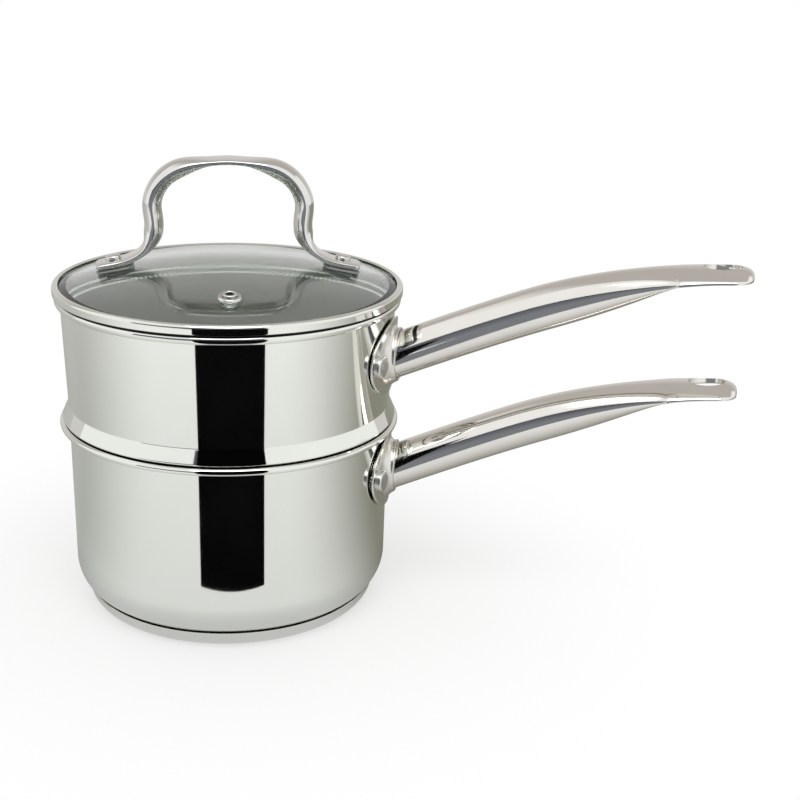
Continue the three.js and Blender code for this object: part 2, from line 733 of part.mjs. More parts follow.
// Lid
const lid = new THREE.Group();
const glassDepth = 2 * glassSheet;
const drill = (diameter) => rod(diameter, -glassDepth, glassDepth);
const ventDrill = ventBarrel + 2 * clearance;
const drilledGlass = glassShape()
  .subtract(solid(atFoot(drill(shankHole), 1)))
  .subtract(solid(atFoot(drill(shankHole), -1)))
  .subtract(solid(atVent(drill(ventDrill))));
const ventWasher = flatRing(ventFlange, ventDrill, ventWasherBottom, ventWasherTop);
lid.add(
  piece('lid_glass', drilledGlass, smokedGlass),
  piece('lid_rim_band', rimBand(), polishedSteel),
  piece('lid_rim_seal', rimSeal(), darkSilicone),
  piece('lid_handle', lidHandle(), satinSteel),
  piece('vent_eyelet', atVent(ventEyelet()), polishedSteel),
  piece('vent_washer', atVent(ventWasher), polishedSteel),
);
for (const [hand, side] of [['left', -1], ['right', 1]]) {
  const underSeal = flatRing(underSealOuter, shankHole, underSealBottom, underSealTop);
  const washer = flatRing(washerOuter, shankHole, washerBottom, washerTop);
  lid.add(
    piece(`lid_handle_rivet_${hand}`, atFoot(footRivet(), side), polishedSteel),
    piece(`lid_handle_pad_${hand}`, atFoot(footPad(), side), clearSilicone),
    piece(`lid_handle_seal_${hand}`, atFoot(underSeal, side), clearSilicone),
    piece(`lid_handle_washer_${hand}`, atFoot(washer, side), polishedSteel),
  );
}
lid.rotation.z = THREE.MathUtils.degToRad(lidTurn);

const steamerPot = new THREE.Group();
steamerPot.add(saucepan, steamer, lid);
steamerPot.updateMatrixWorld(true);

export default steamerPot;
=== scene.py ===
import math

import bmesh
import bpy
import numpy as np
from mathutils import Matrix, Vector


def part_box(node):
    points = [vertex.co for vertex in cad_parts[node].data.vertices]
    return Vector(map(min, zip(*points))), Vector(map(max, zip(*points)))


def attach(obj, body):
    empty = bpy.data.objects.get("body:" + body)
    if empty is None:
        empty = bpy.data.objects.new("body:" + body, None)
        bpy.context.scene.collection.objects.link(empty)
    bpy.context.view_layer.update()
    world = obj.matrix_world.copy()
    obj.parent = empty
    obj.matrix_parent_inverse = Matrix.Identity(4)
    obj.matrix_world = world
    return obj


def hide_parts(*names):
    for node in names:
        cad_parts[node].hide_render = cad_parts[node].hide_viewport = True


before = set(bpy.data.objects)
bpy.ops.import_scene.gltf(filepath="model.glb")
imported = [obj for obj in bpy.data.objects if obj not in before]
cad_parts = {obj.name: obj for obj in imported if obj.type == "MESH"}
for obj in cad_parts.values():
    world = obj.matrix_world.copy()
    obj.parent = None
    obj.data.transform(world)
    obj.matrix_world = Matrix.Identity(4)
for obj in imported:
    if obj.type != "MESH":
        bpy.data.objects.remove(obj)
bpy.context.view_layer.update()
scene = bpy.context.scene
scene.view_settings.view_transform = 'Standard'

mm = 0.001
gap = 0.3                # air between pieces that touch, as in the solids
lidTurn = 14.15          # degrees that the bail is turned from the line of the pan's handle
steamerTurn = -4.2       # degrees that the insert's handle is turned from the pan's
sharpAngle = 40          # degrees from which an edge shades as an edge
floorTilt = 0.2          # least upward lean of a face that belongs to a floor
smallSteps = 64          # facets round rivets, rings and the vent
print('frame loaded:', len(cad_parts), 'nodes')


def lowest(node):
    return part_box(node)[0] / mm


def highest(node):
    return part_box(node)[1] / mm


# colours and shader nodes

def hexColour(code):
    parts = [int(code[i:i + 2], 16) / 255 for i in (1, 3, 5)]
    linear = [c / 12.92 if c <= 0.04045 else ((c + 0.055) / 1.055) ** 2.4 for c in parts]
    return (*linear, 1.0)


def addNode(tree, kind, inputs={}, **settings):
    node = tree.nodes.new('ShaderNode' + kind)
    for name, value in settings.items():
        setattr(node, name, value)
    for name, value in inputs.items():
        if isinstance(value, bpy.types.NodeSocket):
            tree.links.new(value, node.inputs[name])
        else:
            node.inputs[name].default_value = value
    return node


def newMaterial(name):
    material = bpy.data.materials.new(name)
    material.use_nodes = True
    tree = material.node_tree
    tree.nodes.clear()
    output = addNode(tree, 'OutputMaterial')
    return material, tree, output


# steel: one recipe for the sheet, bar and tube, which differ in polish and in the run of the lines;
# real polishing lines are some hundredths of a millimetre wide, and are drawn coarser here so that they show
def steelMaterial(name, look):
    material, tree, output = newMaterial(name)
    place = addNode(tree, 'TexCoord').outputs['Object']
    perMm = [1 / (mm * size) for size in look['lineSize']]
    lines = addNode(tree, 'Mapping', {'Vector': place, 'Scale': perMm})
    lines = addNode(tree, 'TexNoise', {'Vector': lines.outputs[0], 'Scale': 1.0, 'Detail': 3.0})
    cloud = addNode(tree, 'TexNoise', {'Vector': place, 'Scale': 1 / (mm * look['cloudSize']), 'Detail': 2.0})
    mixed = addNode(tree, 'Mix', {'Factor': 0.5, 'A': lines.outputs['Fac'], 'B': cloud.outputs['Fac']})
    rough = addNode(tree, 'MapRange', {
        'Value': mixed.outputs[0], 'From Min': 0.3, 'From Max': 0.7,     # noise seldom leaves this range
        'To Min': look['roughness'][0], 'To Max': look['roughness'][1]})
    tone = addNode(tree, 'Mix', {
        'Factor': cloud.outputs['Fac'], 'A': hexColour(look['colour'][0]),
        'B': hexColour(look['colour'][1])}, data_type='RGBA')
    bump = addNode(tree, 'Bump', {
        'Strength': look['lineStrength'], 'Distance': look['lineDepth'] * mm,
        'Height': lines.outputs['Fac']})
    shader = addNode(tree, 'BsdfPrincipled', {
        'Base Color': tone.outputs[2], 'Metallic': 1.0, 'Roughness': rough.outputs[0],
        'Normal': bump.outputs[0]})
    tree.links.new(shader.outputs[0], output.inputs['Surface'])
    return material


# stainless sheet, drawn and mirror-buffed: a clear reflection, hardly softened by the buffing
mirrorSteel = steelMaterial('stainless steel, mirror-buffed', {
    'colour': ['#e6e8e2', '#ebede7'], 'roughness': [0.03, 0.065],
    'lineSize': [40, 40, 0.6], 'lineStrength': 0.02, 'lineDepth': 0.02, 'cloudSize': 25})

# stainless sheet, spun to a satin inside: fine rings that spread the light up and down
spunSteel = steelMaterial('stainless steel, spun satin', {
    'colour': ['#d2d1cd', '#dad9d5'], 'roughness': [0.3, 0.4],
    'lineSize': [60, 60, 0.8], 'lineStrength': 0.04, 'lineDepth': 0.03, 'cloudSize': 30})

# stainless tube, polished along its length: long faint lines, reflections soft across them
tubeSteel = steelMaterial('stainless tube, polished lengthways', {
    'colour': ['#e6e3dd', '#eeebe6'], 'roughness': [0.06, 0.11],
    'lineSize': [45, 0.9, 0.9], 'lineStrength': 0.06, 'lineDepth': 0.03, 'cloudSize': 14})

# stainless brackets, pressed and satin-polished: light spreads softly, so bands have no hard edge
satinSteel = steelMaterial('stainless steel, pressed satin', {
    'colour': ['#dcdad4', '#e4e2dc'], 'roughness': [0.16, 0.26],
    'lineSize': [2, 2, 2], 'lineStrength': 0.06, 'lineDepth': 0.03, 'cloudSize': 6})

# stainless bar of the lid's bail, polished: clear bands with soft edges, hardly any lines
bailSteel = steelMaterial('stainless bail, polished', {
    'colour': ['#e0dfdb', '#e8e7e3'], 'roughness': [0.07, 0.13],
    'lineSize': [30, 1.2, 30], 'lineStrength': 0.015, 'lineDepth': 0.02, 'cloudSize': 10})

# stainless rivets and eyelet, pressed and tumbled: bright with a grainy softness
tumbledSteel = steelMaterial('stainless steel, tumbled', {
    'colour': ['#d8d7d4', '#e0dfdc'], 'roughness': [0.2, 0.3],
    'lineSize': [1.4, 1.4, 1.4], 'lineStrength': 0.15, 'lineDepth': 0.04, 'cloudSize': 4})

# stainless steel painted dark in the seams: painted shade for the shadow in the gaps under the bead
# and the band, dull and dark, so a seam reads as a line
seamShadeSteel = steelMaterial('stainless steel, painted seam shade', {
    'colour': ['#2b2a28', '#353432'], 'roughness': [0.45, 0.6],
    'lineSize': [20, 20, 0.8], 'lineStrength': 0.1, 'lineDepth': 0.03, 'cloudSize': 6})

# aluminium disc, pressed and left bare: dull and a little blue
pressedAluminium = steelMaterial('aluminium, pressed', {
    'colour': ['#b3b6ba', '#bfc2c5'], 'roughness': [0.42, 0.55],
    'lineSize': [3, 3, 1], 'lineStrength': 0.2, 'lineDepth': 0.05, 'cloudSize': 8})


# soda-lime glass, bent and tempered: clear, faintly grey-green, with a trace of roller wave
def glassMaterial(name, look):
    material, tree, output = newMaterial(name)
    place = addNode(tree, 'TexCoord').outputs['Object']
    wave = addNode(tree, 'TexNoise', {'Vector': place, 'Scale': 1 / (mm * look['waveSize']), 'Detail': 1.0})
    bump = addNode(tree, 'Bump', {
        'Strength': look['waveStrength'], 'Distance': look['waveDepth'] * mm, 'Height': wave.outputs['Fac']})
    tone = addNode(tree, 'Mix', {
        'Factor': wave.outputs['Fac'], 'A': hexColour(look['colour'][0]),
        'B': hexColour(look['colour'][1])}, data_type='RGBA')
    shader = addNode(tree, 'BsdfPrincipled', {
        'Base Color': tone.outputs[2], 'Roughness': look['roughness'], 'IOR': look['ior'],
        'Transmission Weight': 1.0, 'Normal': bump.outputs[0]})
    tree.links.new(shader.outputs[0], output.inputs['Surface'])
    return material


lidGlassMaterial = glassMaterial('soda-lime glass, tempered', {
    'colour': ['#e3eae6', '#e7eeea'], 'roughness': 0.0, 'ior': 1.52,
    'waveSize': 80, 'waveStrength': 0.02, 'waveDepth': 0.02})


# silicone, moulded: matte skin with a fine grain, the clear grade lets light in
def siliconeMaterial(name, look):
    material, tree, output = newMaterial(name)
    place = addNode(tree, 'TexCoord').outputs['Object']
    grain = addNode(tree, 'TexNoise', {'Vector': place, 'Scale': 1 / (mm * look['grainSize']), 'Detail': 4.0})
    tone = addNode(tree, 'Mix', {
        'Factor': grain.outputs['Fac'], 'A': hexColour(look['colour'][0]),
        'B': hexColour(look['colour'][1])}, data_type='RGBA')
    rough = addNode(tree, 'MapRange', {
        'Value': grain.outputs['Fac'], 'To Min': look['roughness'][0], 'To Max': look['roughness'][1]})
    bump = addNode(tree, 'Bump', {
        'Strength': look['grainStrength'], 'Distance': look['grainDepth'] * mm,
        'Height': grain.outputs['Fac']})
    shader = addNode(tree, 'BsdfPrincipled', {
        'Base Color': tone.outputs[2], 'Roughness': rough.outputs[0], 'IOR': look['ior'],
        'Transmission Weight': look['clear'], 'Normal': bump.outputs[0]})
    tree.links.new(shader.outputs[0], output.inputs['Surface'])
    return material


darkSilicone = siliconeMaterial('silicone, dark, moulded', {
    'colour': ['#232526', '#2d2f30'], 'roughness': [0.45, 0.6], 'ior': 1.41, 'clear': 0.0,
    'grainSize': 0.8, 'grainStrength': 0.2, 'grainDepth': 0.03})
clearSilicone = siliconeMaterial('silicone, clear, moulded', {
    'colour': ['#d5d8d5', '#dfe1de'], 'roughness': [0.35, 0.5], 'ior': 1.41, 'clear': 0.6,
    'grainSize': 0.8, 'grainStrength': 0.2, 'grainDepth': 0.03})
print('materials made')


# meshes

# finishes: other materials, each with a test that picks its faces; the first that fits is taken
def addPiece(name, bm, material, finishes=()):
    bmesh.ops.recalc_face_normals(bm, faces=bm.faces)
    for face in bm.faces:
        face.smooth = True
        fits = [i for i, (finish, test) in enumerate(finishes, 1) if test(face)]
        face.material_index = fits[0] if fits else 0
    mesh = bpy.data.meshes.new(name)
    bm.to_mesh(mesh)
    bm.free()
    mesh.materials.append(material)
    for finish, test in finishes:
        mesh.materials.append(finish)
    mesh.set_sharp_from_angle(angle=math.radians(sharpAngle))
    piece = bpy.data.objects.new(name, mesh)
    scene.collection.objects.link(piece)
    return piece


def standFor(piece, body, slot, *nodes):
    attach(piece, body)
    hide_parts(*nodes)


# an arc of a profile, round or, with two radii, oval
def bend(r, z, radius, start, end, steps=12):
    across, up = radius if isinstance(radius, tuple) else (radius, radius)
    angles = np.radians(np.linspace(start, end, steps + 1))
    return [(r + across * math.cos(a), z + up * math.sin(a)) for a in angles]


# rounds a profile's corner, tangent to the lines before and after it
def soften(before, corner, after, radius, steps=6):
    corner = Vector(corner)
    toBefore = (Vector(before) - corner).normalized()
    toAfter = (Vector(after) - corner).normalized()
    half = toBefore.angle(toAfter) / 2
    centre = corner + (toBefore + toAfter).normalized() * radius / math.sin(half)
    reach = radius / math.tan(half)
    first = corner + toBefore * reach - centre
    last = corner + toAfter * reach - centre
    return [tuple(centre + first.slerp(last, i / steps)) for i in range(steps + 1)]


# straight runs get rings of their own near their ends, so that smooth shading doesn't reach along them
def finePoints(profile, longest=4.0, near=0.3):
    fine = [profile[0]]
    for a, b in zip(profile, profile[1:]):
        run = math.dist(a, b)
        if run > 4 * near:
            count = math.ceil(run / longest)
            shares = [near / run, *(i / count for i in range(1, count)), 1 - near / run]
            fine += [tuple(np.array(a) + (np.array(b) - np.array(a)) * s) for s in shares]
        fine.append(b)
    return fine


def turnedMesh(profile, steps=192):
    bm = bmesh.new()
    points = [bm.verts.new((r * mm, 0, z * mm)) for r, z in finePoints(profile)]
    edges = [bm.edges.new(pair) for pair in zip(points, points[1:])]
    bmesh.ops.spin(bm, geom=points + edges, cent=(0, 0, 0), axis=(0, 0, 1),
                   angle=2 * math.pi, steps=steps, use_merge=True)
    bmesh.ops.remove_doubles(bm, verts=bm.verts, dist=1e-4 * mm)
    return bm


# a skin over rings of points, closed at both ends
def skinnedMesh(rings):
    bm = bmesh.new()
    rows = [[bm.verts.new(Vector(p) * mm) for p in ring] for ring in rings]
    for row, following in zip(rows, rows[1:]):
        for i in range(len(row)):
            j = (i + 1) % len(row)
            bm.faces.new((row[i], row[j], following[j], following[i]))
    bm.faces.new(rows[0])
    bm.faces.new(rows[-1])
    return bm


def cutAway(piece, cutter):
    change = piece.modifiers.new('cut', 'BOOLEAN')
    change.operation = 'DIFFERENCE'
    change.solver = 'EXACT'
    change.object = cutter
    bpy.context.view_layer.update()
    cut = bpy.data.meshes.new_from_object(piece.evaluated_get(bpy.context.evaluated_depsgraph_get()))
    piece.modifiers.clear()
    piece.data = cut
    cut.set_sharp_from_angle(angle=math.radians(sharpAngle))
    bpy.data.objects.remove(cutter)


def smoothStep(value, low, high):
    share = min(max((value - low) / (high - low), 0), 1)
    return share * share * (3 - 2 * share)


def blendOf(a, b, share):
    return a + (b - a) * share


# saucepan: a drawn pan with a rolled rim
pan = {
    'bore': 160, 'wall': 0.8, 'taper': 0.8, 'corner': 20, 'curl': 2.75, 'curlRise': 2.05,
    'top': highest('saucepan_body').z, 'floor': lowest('saucepan_body').z,
}
pan['cornerAt'] = pan['floor'] + pan['corner']
pan['flat'] = pan['bore'] / 2 + pan['wall'] - pan['taper'] - pan['corner']


def rolledRim(level):
    curl, rise = level['curl'], level['curlRise']
    meet = math.degrees(math.acos((level['wall'] - curl) / curl))
    return bend(level['bore'] / 2 + curl, level['top'] - rise, (curl, rise), -meet, 180, 36)


def panWallAt(z):
    share = (z - pan['cornerAt']) / (pan['top'] - pan['curlRise'] - pan['cornerAt'])
    return pan['bore'] / 2 + pan['wall'] - pan['taper'] * (1 - share)


def facesIn(face):
    middle = face.calc_center_median()
    return face.normal.x * middle.x + face.normal.y * middle.y < -1e-6


def panInside(face):
    middle = face.calc_center_median() / mm
    aboveFloor = middle.z > pan['floor'] + pan['wall'] / 2
    belowRim = middle.z < pan['top'] - 2 * pan['curlRise']
    return belowRim and aboveFloor and (facesIn(face) or face.normal.z > floorTilt)


panProfile = [
    (0, pan['floor']),
    *bend(pan['flat'], pan['cornerAt'], pan['corner'], -90, 0, 24),
    *rolledRim(pan),
    *bend(pan['flat'], pan['cornerAt'], pan['corner'] - pan['wall'], 0, -90, 24),
    (0, pan['floor'] + pan['wall']),
]
saucepanBody = addPiece('saucepanBody', turnedMesh(panProfile), mirrorSteel, [(spunSteel, panInside)])
standFor(saucepanBody, 'saucepan', 'polished_steel', 'saucepan_body')

# the cap pressed over the base's disc
cap = {
    'sheet': 0.6, 'round': 9,
    'top': highest('saucepan_base_cap').z, 'radius': highest('saucepan_base_cap').x,
}
capFlat = cap['radius'] - cap['round']
capInner = (cap['round'] - cap['sheet'], cap['top'] - cap['sheet'])
capProfile = [
    (0, 0),
    *bend(capFlat, cap['top'], (cap['round'], cap['top']), -90, 0, 20),
    *bend(capFlat, cap['top'], capInner, 0, -90, 20),
    (0, cap['sheet']),
]
saucepanBaseCap = addPiece('saucepanBaseCap', turnedMesh(capProfile), mirrorSteel)
standFor(saucepanBaseCap, 'saucepan', 'polished_steel', 'saucepan_base_cap')
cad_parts['saucepan_base_core'].data.materials.clear()
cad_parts['saucepan_base_core'].data.materials.append(pressedAluminium)
print('saucepan body and base made')

# steamer insert: drawn, necked in above the bead that sits on the pan, with holes in its floor
steamer = {
    'bore': 164.4, 'wall': 0.8, 'curl': 1.75, 'curlRise': 2.1,
    'neckDraw': 3, 'neckRise': 7.5, 'neckRound': 2, 'overhang': 4, 'nose': 0.6, 'noseLift': 0.35,
    'seatWide': 1.6, 'seamTilt': -0.6, 'skirtSlack': 1.4, 'corner': 8,
    'hole': 6, 'holeRings': 3, 'holePitch': 16, 'holesPerRing': 6,
    'top': highest('steamer_body').z, 'floor': lowest('steamer_body').z,
}
steamer['seat'] = pan['top'] + gap
steamer['neck'] = steamer['seat'] + steamer['neckRise']
steamer['skirt'] = pan['bore'] / 2 - steamer['skirtSlack']


def steamerWallAt(z):
    share = (z - steamer['neck']) / (steamer['top'] - steamer['curlRise'] - steamer['neck'])
    return steamer['bore'] / 2 + steamer['wall'] - steamer['neckDraw'] * (1 - share)


def steamerInside(face):
    middle = face.calc_center_median() / mm
    onFloor = steamer['floor'] + steamer['wall'] / 2 < middle.z < steamer['seat']
    walls = facesIn(face) and middle.z < steamer['top'] - 2 * steamer['curlRise']
    return walls or (face.normal.z > floorTilt and onFloor)


# the bead's underside, over the pan's rim: painted dark, as painted shade for the gap between bead and rim
def steamerSeamShade(face):
    middle = face.calc_center_median() / mm
    outside = middle.xy.length > steamer['skirt'] and middle.z < steamer['neck']
    return outside and face.normal.z < steamer['seamTilt']


def steamerProfile():
    wall = steamer['wall']
    nose = steamer['nose']
    noseAt = (pan['bore'] / 2 + steamer['overhang'] - nose, steamer['seat'] + steamer['noseLift'] + nose)
    neckAt = (steamerWallAt(steamer['neck']), steamer['neck'])
    lean = math.degrees(math.atan2(noseAt[0] - neckAt[0], neckAt[1] - noseAt[1]))
    flare = bend(*noseAt, nose, -90, lean)
    rim = rolledRim(steamer)
    corner = (steamer['skirt'] - steamer['corner'], steamer['floor'] + steamer['corner'])
    innerNeck = (neckAt[0] - wall, neckAt[1])
    innerNose = (noseAt[0] - nose, noseAt[1] + nose)
    innerSeat = (steamer['skirt'] - wall, steamer['seat'] + wall)
    innerCorner = bend(*corner, steamer['corner'] - wall, 0, -90)
    return [
        (0, steamer['floor']),
        *bend(*corner, steamer['corner'], -90, 0),
        (steamer['skirt'], steamer['seat']),
        (pan['bore'] / 2 + steamer['seatWide'], steamer['seat']),     # the bead lifts off the rim from here
        *flare,
        *soften(flare[-1], neckAt, rim[0], steamer['neckRound']),
        *rim,
        *soften(rim[-1], innerNeck, innerNose, steamer['neckRound']),
        *soften(innerNeck, innerNose, innerSeat, nose / 2),
        *soften(innerNose, innerSeat, innerCorner[0], nose),
        *innerCorner,
        (0, steamer['floor'] + wall),
    ]


def steamHoleCutter():
    bm = bmesh.new()
    for ring in range(steamer['holeRings'] + 1):
        count = max(1, ring * steamer['holesPerRing'])
        for i in range(count):
            angle = 2 * math.pi * i / count
            away = ring * steamer['holePitch']
            spot = Vector((away * math.cos(angle), away * math.sin(angle), steamer['floor']))
            bmesh.ops.create_cone(
                bm, cap_ends=True, segments=32, radius1=steamer['hole'] / 2 * mm,
                radius2=steamer['hole'] / 2 * mm, depth=6 * steamer['wall'] * mm,
                matrix=Matrix.Translation(spot * mm))
    return addPiece('steamHoles', bm, spunSteel)


# the bead's underside takes the dark steel: painted shade in the gap over the pan's rim
steamerBody = addPiece('steamerBody', turnedMesh(steamerProfile()), mirrorSteel,
                       [(seamShadeSteel, steamerSeamShade), (spunSteel, steamerInside)])
cutAway(steamerBody, steamHoleCutter())
steamerBody.data.transform(Matrix.Rotation(math.radians(steamerTurn), 4, 'Z'))
standFor(steamerBody, 'steamer_insert', 'polished_steel', 'steamer_body')
print('steamer insert made')

# handles: a bracket on the wall, two rivets, and a tube pressed flat at its end
bracket = {
    'plateSheet': 1.8, 'plateWide': 52.4, 'plateHigh': 38, 'plateRound': 0.5,
    'plateLift': 0.8, 'liftWide': 5, 'liftStep': 0.5, 'boss': 15.3, 'bossFoot': 0.8,
    'flareLength': 2.9, 'flareCurve': 1.3, 'flareSteps': 14,
    'collar': 12.4, 'collarLength': 1.0, 'collarRound': 0.7, 'collarEdge': 0.2,
    'socket': 11.2, 'tubeSeat': 1.5, 'around': 144,
    'rivetAt': 20.6, 'rivetHead': 10, 'rivetHigh': 3.2, 'rivetFlat': 4.4, 'rivetRound': 0.6,
    'rivetShank': 5, 'rivetTail': 9, 'rivetTailHigh': 1.4,
}
handle = {
    'radius': 10.9, 'reach': 168, 'rise': 51.8, 'slope': 24, 'startPull': 0.44, 'endPull': 0.29,
    'tipWide': 29, 'tipSheet': 2, 'tipCrown': 4.4, 'tipRound': 11, 'tipEdge': 0.35,
    'endPower': 2.5, 'endKept': 0.995, 'flatten': 107, 'flattenLead': 17.5, 'belly': 56.5, 'bellyEnd': 34,
    'hangLong': 18, 'hangWide': 12, 'hangInset': 14.5, 'around': 96, 'along': 180, 'tipCrowding': 1.6,
}


def bracketRings(wallAt, middle):
    face = wallAt(middle) + gap + bracket['plateSheet']
    turnAngles = np.linspace(0, 2 * math.pi, bracket['around'], endpoint=False)

    # height is counted from the plate's face; level 1 lies in an upright plane, level 0 follows the wall
    def ring(wide, high, height, level, lift=0):
        points = []
        for angle in turnAngles:
            y = wide * math.cos(angle)
            z = middle + high * math.sin(angle)
            curved = math.sqrt((wallAt(z) + gap + bracket['plateSheet'] + height) ** 2 - y * y)
            points.append((blendOf(curved, face + height, level), y, z + lift))
        return points

    # the boss leans with the tube that it holds, so its rings rise as they stand out
    slope = math.radians(handle['slope'])

    def bossRing(radius, height, level=1):
        tall = radius * blendOf(1, 1 / math.cos(slope), level)
        return ring(radius, tall, height, level, max(height - bracket['tubeSeat'], 0) * math.tan(slope))

    seat = bracket['tubeSeat'] - gap
    collarEnd = bracket['flareLength'] + bracket['collarLength']
    collarRound, collarEdge = bracket['collarRound'], bracket['collarEdge']
    rings = [bossRing(bracket['socket'] * s, seat) for s in (0.3, 0.7, 0.97, 1)]
    rings += [bossRing(bracket['socket'], h) for h in (seat + collarEdge, collarEnd - collarEdge)]
    rings.append(bossRing(bracket['socket'] + collarEdge, collarEnd))
    rings += [bossRing(r, h) for r, h in
              bend(bracket['collar'] - collarRound, collarEnd - collarRound, collarRound, 90, 0, 6)]

    # the flare sweeps out from the collar to the plate
    steps = bracket['flareSteps']
    bossEnd = bracket['boss'] + bracket['bossFoot']
    for i in range(1, steps + 1):
        share = i / steps
        left = (1 - share) ** bracket['flareCurve']
        radius = blendOf(bracket['collar'], bossEnd, share ** bracket['flareCurve'])
        rings.append(bossRing(radius, bracket['flareLength'] * left, left))

    plateRound = bracket['plateRound']
    halfWide, halfHigh = bracket['plateWide'] / 2, bracket['plateHigh'] / 2
    for share in (0.25, 0.5, 0.75, 0.93):
        rings.append(ring(blendOf(bossEnd, halfWide - plateRound, share),
                          blendOf(bossEnd, halfHigh - plateRound, share), 0, 0))
    for out, height in bend(0, -plateRound, plateRound, 90, -60, 10):
        rings.append(ring(halfWide - plateRound + out, halfHigh - plateRound + out, height, 0))

    # the plate's edge stands off the wall, so a dark gap shows behind it
    back = -bracket['plateSheet']
    lifted = back + bracket['plateLift']
    inset = bracket['liftWide']
    liftEnd = inset - bracket['liftStep']
    rings += [ring(halfWide - out, halfHigh - out, lifted, 0) for out in (plateRound, liftEnd)]
    rings += [ring((halfWide - inset) * s, (halfHigh - inset) * s, back, 0) for s in (1, 0.6, 0.3, 0.05)]
    return rings, face


def roundedEnd(share):
    way = handle['endKept'] * min(max(share, 0), 1)
    return (1 - way ** handle['endPower']) ** (1 / handle['endPower'])


def signedPower(value, power):
    return math.copysign(abs(value) ** power, value)


def handleRings(startX, startZ):
    slope = math.radians(handle['slope'])
    end = startX + handle['reach']
    pull = handle['startPull'] * handle['reach']
    line = [
        np.array((startX, startZ)),
        np.array((startX + pull * math.cos(slope), startZ + pull * math.sin(slope))),
        np.array((end - handle['endPull'] * handle['reach'], startZ + handle['rise'])),
        np.array((end, startZ + handle['rise'])),
    ]
    bellyStop = end - handle['bellyEnd']
    flattenStart = bellyStop - handle['belly'] - handle['flattenLead']
    rings = []
    for i in range(handle['along'] + 1):
        t = 1 - (1 - i / handle['along']) ** handle['tipCrowding']     # rings lie closer towards the tip
        s = 1 - t
        x, z = s ** 3 * line[0] + 3 * s * s * t * line[1] + 3 * s * t * t * line[2] + t ** 3 * line[3]
        way = s * s * (line[1] - line[0]) + 2 * s * t * (line[2] - line[1]) + t * t * (line[3] - line[2])
        upright = math.hypot(*way) / way[0]
        belly = min(max((x - bellyStop + handle['belly']) / handle['belly'], 0), 1)
        bellyFlat = 1 - math.sqrt(1 - belly ** 2)
        topFlat = smoothStep(x, flattenStart, flattenStart + handle['flatten'])
        narrow = roundedEnd((x - end + handle['tipRound']) / handle['tipRound'])
        wide = blendOf(handle['radius'], handle['tipWide'] / 2, bellyFlat) * narrow
        ring = []
        for angle in np.linspace(0, 2 * math.pi, handle['around'], endpoint=False):
            across, up = math.sin(angle), math.cos(angle)
            flat = bellyFlat if up < 0 else topFlat
            crown = handle['tipCrown'] * narrow * (1 - across ** 2)
            pressed = crown + handle['tipSheet'] / 2 * signedPower(up, handle['tipEdge'])
            ring.append((x, wide * across, z + upright * blendOf(handle['radius'] * up, pressed, flat)))
        rings.append(ring)
    return rings


def hangHoleCutter(startX, startZ):
    bm = bmesh.new()
    middle = Vector((startX + handle['reach'] - handle['hangInset'], 0, startZ + handle['rise']))
    size = Matrix.Diagonal((handle['hangLong'] / 2, handle['hangWide'] / 2, 1, 1))
    bmesh.ops.create_cone(bm, cap_ends=True, segments=96, radius1=mm, radius2=mm,
                          depth=handle['rise'] * mm, matrix=Matrix.Translation(middle * mm) @ size)
    return addPiece('hangHole', bm, tubeSteel)


def rivetProfile(shank, tail, tailHigh, tailFace, head, headHigh, headFlat, headRound, headFace):
    top = headFace + headHigh
    return [
        (0, tailFace - tailHigh),
        *bend(0, tailFace, (tail / 2, tailHigh), -80, 0, 8),
        (shank / 2, tailFace),
        (shank / 2, headFace),
        (head / 2, headFace),
        *soften((head / 2, headFace), (head / 2, top - headRound / 2), (headFlat, top), headRound),
        *soften((head / 2, top - headRound / 2), (headFlat, top), (0, top), headRound),
        (0, top),
    ]


def addHandle(name, body, wallAt, wall, turn):
    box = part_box(name + '_handle_bracket')
    middle = (box[0].z + box[1].z) / 2 / mm
    rings, face = bracketRings(wallAt, middle)
    plate = addPiece(name + 'HandleBracket', skinnedMesh(rings), satinSteel)
    startX = face + bracket['tubeSeat']
    tube = addPiece(name + 'Handle', skinnedMesh(handleRings(startX, middle)), tubeSteel)
    cutAway(tube, hangHoleCutter(startX, middle))
    for piece, slot, end in ((plate, 'polished_steel', '_handle_bracket'), (tube, 'satin_steel', '_handle')):
        piece.rotation_euler.z = math.radians(turn)
        standFor(piece, body, slot, name + end)

    angle = math.asin(bracket['rivetAt'] / face)
    tailFace = wallAt(middle) - wall - gap
    for end, side in (('Front', -1), ('Back', 1)):
        profile = rivetProfile(
            bracket['rivetShank'], bracket['rivetTail'], bracket['rivetTailHigh'], tailFace,
            bracket['rivetHead'], bracket['rivetHigh'], bracket['rivetFlat'], bracket['rivetRound'], face)
        rivet = addPiece(name + 'Rivet' + end, turnedMesh(profile, smallSteps), tumbledSteel)
        lay = Matrix.Rotation(side * angle, 4, 'Z') @ Matrix.Rotation(math.pi / 2, 4, 'Y')
        rivet.data.transform(Matrix.Translation((0, 0, middle * mm)) @ lay)
        rivet.rotation_euler.z = math.radians(turn)
        standFor(rivet, body, 'polished_steel', name + '_rivet_' + end.lower())


addHandle('saucepan', 'saucepan', panWallAt, pan['wall'], 0)
addHandle('steamer', 'steamer_insert', steamerWallAt, steamer['wall'], steamerTurn)
print('handles made')

